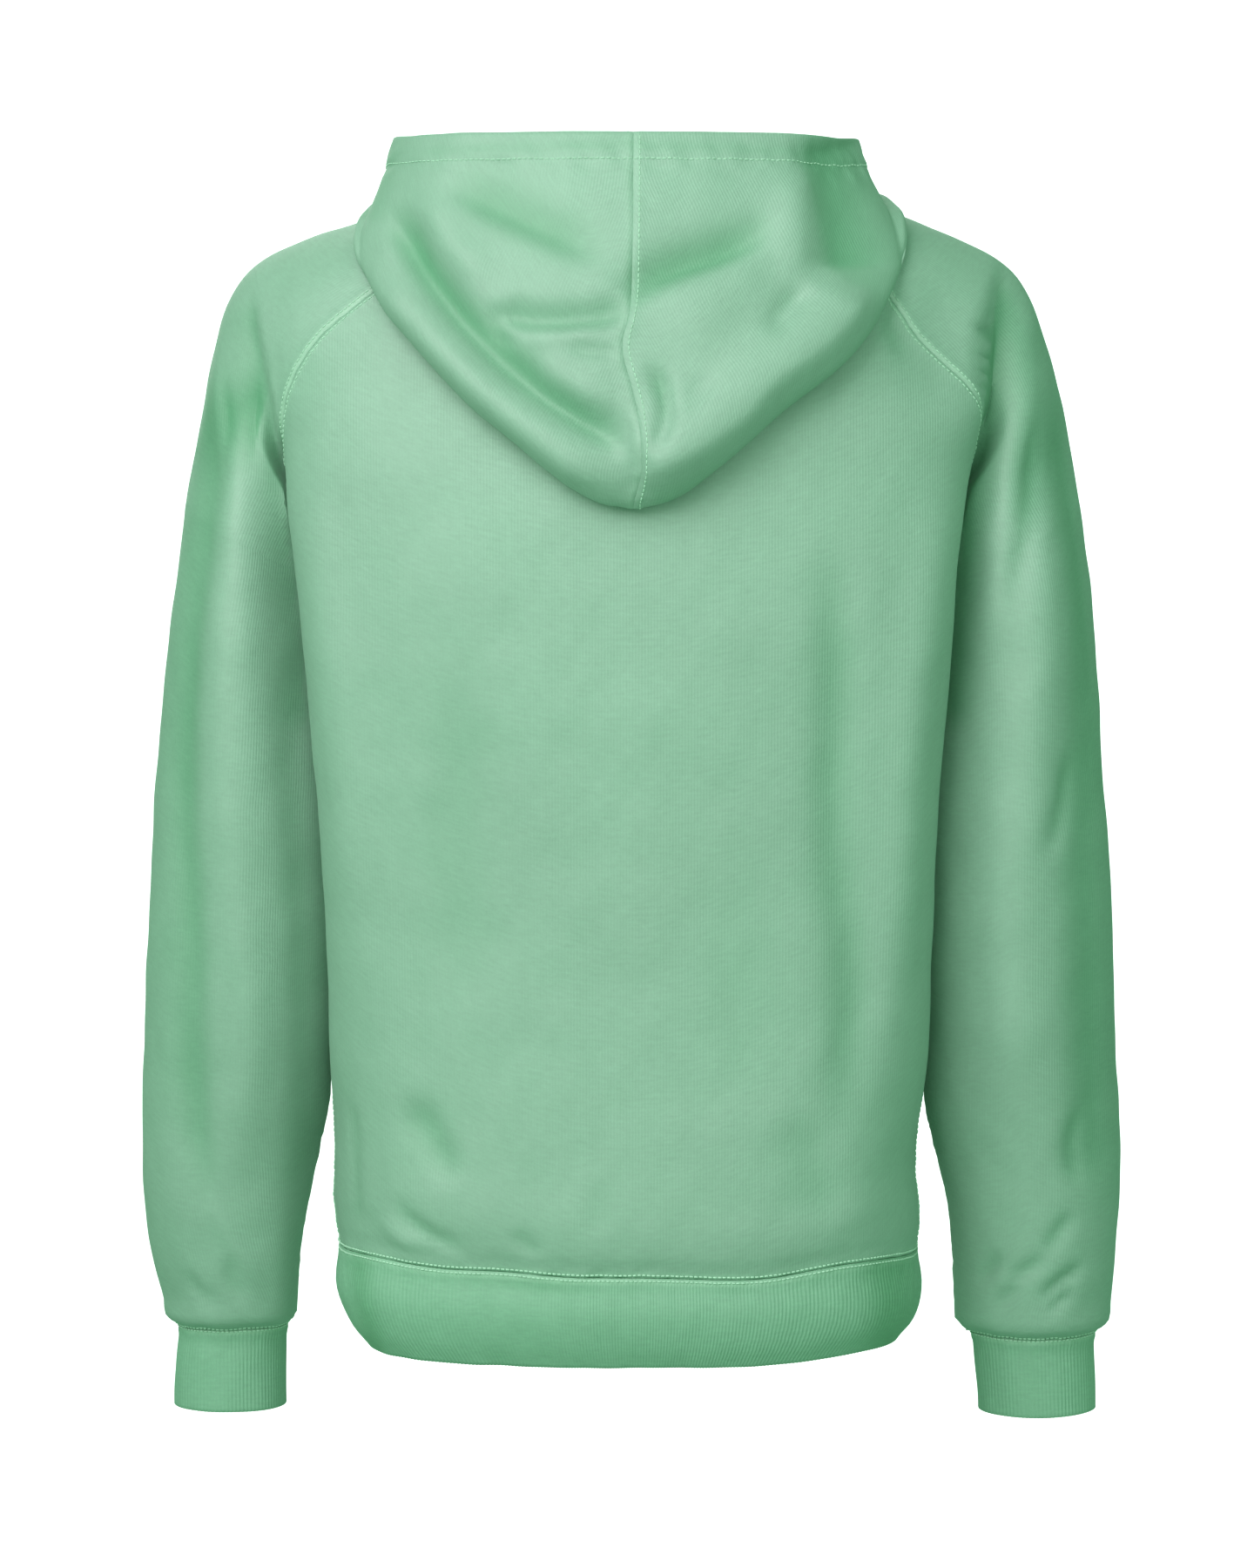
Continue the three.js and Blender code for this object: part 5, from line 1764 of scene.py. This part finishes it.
@dataclass
class Zip:
    """The front zip: tapes, moulded teeth and the slider's parts.

    Attributes:
        pitch: From one tooth to the next on one tape.
        half_height: A tooth's half height.
        past_middle: How far a tooth reaches past the middle, and onto_tape the other way.
        proud: How far out of the fronts' face a tooth's front lies, and behind its back.
        top_z: Height of the highest teeth, and foot_z of the lowest.
        tape_near: From the middle to the tape's near edge, and tape_far to its far one.
        tape_thick: The tape's thickness, and tape_behind the room between the fronts and it.
        rounding: How far the rounded edges of each metal part reach.
    """

    garment: Garment
    pitch: float = 2.7
    half_height: float = 0.58
    past_middle: float = 0.55
    onto_tape: float = 2.9
    proud: float = 0.7
    behind: float = -1.3
    top_z: float = -60
    foot_z: float = -670
    tape_near: float = 0.4
    tape_far: float = 13
    tape_thick: float = 0.9
    tape_behind: float = 0.7
    rounding: dict[str, float] = field(
        default_factory=lambda: {
            "zip_slider": 0.3, "pull_tab": 0.28, "top_stop_left": 0.3, "top_stop_right": 0.3, "zip_box": 0.35
        }
    )

    def __post_init__(self) -> None:
        """Reads the zip's line from the left front's and the band's edges."""
        front, band = self.garment.sheets["front_left"], self.garment.sheets["hem_band"]
        self.edge = np.concatenate([front.grid[:, -1], band.grid[1:, -1]])
        inner = np.concatenate([front.grid[:, -4], band.grid[1:, -20]])
        self.left = unit(inner - self.edge)
        self.out = unit(np.cross(self.left, unit(-np.gradient(self.edge, axis=0))))
        self.at = travelled(self.edge)
        self.cloth = np.full(len(self.edge), CLOTH_THICK)
        self.cloth[len(front.grid) - 3 :] = BAND_THICK

    def places(self, at: Array, x: Array, depth: Array) -> Array:
        """Finds places on the zip.

        Args:
            at: Distances down the zip.
            x: Places across it.
            depth: Distances out from the fronts' outer face.

        Returns:
            The points.
        """
        edge, left, out = (on_path(at, self.at, part) for part in (self.edge, self.left, self.out))
        share = (np.abs(x) - edge[..., 0]) / left[..., 0]
        made = edge + left * share[..., None] + out * depth[..., None]
        made[..., 0] = x
        return made

    def make_tape(self, name: str, material: bpy.types.Material) -> None:
        """Makes one woven tape behind the front's edge, a closed bar of four-sided rings.

        Args:
            name: The side's name.
            material: The tape's material.
        """
        side, count = SIDES[name], 200
        at = np.linspace(0.5, self.at[-1] - 1.5, count)
        face = -np.interp(at, self.at, self.cloth) - self.tape_behind
        near, far, back = self.tape_near, self.tape_far, -self.tape_thick
        corners = ((near, 0), (far, 0), (far, back), (near, back))
        points = np.stack([self.places(at, side * x + 0 * at, face + depth) for x, depth in corners], 1)
        ring = [(i, (i + 1) % 4) for i in range(4)]
        faces = repeated([[i, j, 4 + j, 4 + i] for i, j in ring], count - 1, 4)
        faces += [[3, 2, 1, 0], [4 * count - k for k in (4, 3, 2, 1)]]
        faces = [corner[::-1] for corner in faces] if side > 0 else faces
        made = make_object(f"zip_tape_{name}_woven", points.reshape(-1, 3), faces, smooth=False)
        dress(made, material)
        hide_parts(f"zip_tape_{name}")

    def make_teeth(self, material: bpy.types.Material) -> None:
        """Makes the moulded teeth of both tapes, each a small block with cut corners, in one object.

        Args:
            material: The teeth's material.
        """
        start, end = (np.interp(-z, -self.edge[:, 2], self.at) for z in (self.top_z, self.foot_z))
        points = []
        for side, shift in ((1, 0), (-1, self.pitch / 2)):
            points += [self.tooth(at, side) for at in np.arange(start + shift, end, self.pitch)]
        block = [[0, 1, 2, 3], [4, 7, 6, 5], [0, 4, 5, 1], [1, 5, 6, 2], [2, 6, 7, 3], [3, 7, 4, 0]]
        made = make_object("zip_teeth", np.concatenate(points), repeated(block, len(points), 8), smooth=False)
        bevel(made, 0.22, 2)
        dress(made, material)
        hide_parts("zip_chain")

    def tooth(self, at: float, side: int) -> Array:
        """Makes one tooth.

        Args:
            at: Its distance down the zip.
            side: The side of its tape.

        Returns:
            Its eight corners.
        """
        near, far = -self.past_middle, self.onto_tape
        down = np.array([-0.8, -1, 1, 0.8] * 2) * self.half_height
        x, depth = side * np.array([near, far, far, near] * 2), np.repeat([self.proud, self.behind], 4)
        corners = self.places(at + down, x, depth)
        return corners if side < 0 else corners[[3, 2, 1, 0, 7, 6, 5, 4]]

    def make_hardware(self) -> None:
        """Rounds the edges of the slider, its tab, the stops and the box."""
        metal = METAL.make()
        for node, width in self.rounding.items():
            made = add_object(node + "_metal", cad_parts[node].data.copy())
            bevel(made, width, 3)
            dress(made, metal, "pull_tab_body" if node == "pull_tab" else GARMENT)
            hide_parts(node)

    def make(self) -> None:
        """Makes all of the zip."""
        tape, teeth = TAPE.make(), TEETH.make()
        for name in SIDES:
            self.make_tape(name, tape)
        self.make_teeth(teeth)
        self.make_hardware()


# ---- Studio ----------------------------------------------------------------------------------------------


@dataclass(frozen=True)
class Studio:
    """A pale room with soft light from the upper left of the camera, in metres.

    Attributes:
        middle: What the lights look at.
        lights: Name, place, size and power of each light.
        profile: Radius and height of the floor's rings, which rise into a wall and a ceiling.
    """

    camera: Place = (0.00385, 2.9927, -0.1207)
    target: Place = (0.00385, 0.0, -0.33)
    lens: float = 109.1
    middle: Place = (0, 0, -0.33)
    light_colour: Place = (1.0, 0.93, 0.97)
    floor: float = -1.45
    room: Colour = (0.42, 1.0, 0.6, 1)
    lights: tuple[tuple[str, Place, float, float], ...] = (
        ("key", (1.5, 2.6, 1.6), 2.6, 96),
        ("fill", (-0.9, 3.5, 0.2), 3.2, 32),
        ("front", (0.5, -2.6, 0.9), 2.4, 34),
    )
    profile: tuple[tuple[float, float], ...] = (
        (4.0, 0.0), (5.2, 0.12), (6.0, 0.5), (6.4, 1.3), (6.5, 4.5), (3.0, 6.0), (0.02, 6.4),
    )

    def aim(self, thing: bpy.types.Object, place: Place, target: Place) -> None:
        """Puts a light or camera at a place and turns it towards a target."""
        thing.location = place
        thing.rotation_euler = (Vector(target) - thing.location).to_track_quat("-Z", "Y").to_euler()

    def make_camera(self) -> None:
        """Makes the camera."""
        data = bpy.data.cameras.new("camera")
        data.lens, data.sensor_width = self.lens, 36
        camera = add_object("camera", data)
        self.aim(camera, self.camera, self.target)
        bpy.context.scene.camera = camera

    def make_lights(self) -> None:
        """Makes the soft square lights."""
        for name, place, size, power in self.lights:
            data = bpy.data.lights.new(name, "AREA")
            data.size, data.energy, data.color = size, power, self.light_colour
            self.aim(add_object(name, data), place, self.middle)

    def make_sweep(self) -> None:
        """Makes a pale floor that curves up into a wall all round."""
        count = 64
        angles = np.arange(count) * 2 * math.pi / count
        points = [(r * math.cos(a), r * math.sin(a), self.floor + h) for r, h in self.profile for a in angles]
        around = [(i, (i + 1) % count) for i in range(count)]
        faces = repeated([[i, j, count + j, count + i] for i, j in around], len(self.profile) - 1, count)
        faces.append(list(range(count))[::-1])
        sweep = make_object("sweep", np.array(points) / MM, faces)
        pale, white = (0.9, 0.9, 0.9, 1), (1, 1, 1, 1)
        graph = Graph("white_sweep")
        finish = graph.finish(Base_Color=pale, Emission_Color=white, Emission_Strength=1.1)
        sweep.data.materials.append(finish)
        sweep.visible_diffuse = sweep.visible_glossy = sweep.visible_shadow = False

    def make(self) -> None:
        """Makes the whole studio."""
        self.make_camera()
        self.make_lights()
        self.make_sweep()
        world = bpy.data.worlds.new("room")
        world.use_nodes = True
        background = world.node_tree.nodes["Background"].inputs
        background["Color"].default_value = self.room
        background["Strength"].default_value = 0.42
        bpy.context.scene.world = world
        bpy.context.scene.view_settings.view_transform = "Standard"


def main() -> None:
    """Builds the hoodie and the studio."""
    logging.basicConfig(level=logging.INFO, format="%(message)s")
    Studio().make()
    garment = Garment()
    garment.lay()
    garment.cut_pockets()
    garment.make()
    garment.stitch()
    Zip(garment).make()


if __name__ == "__main__":
    main()
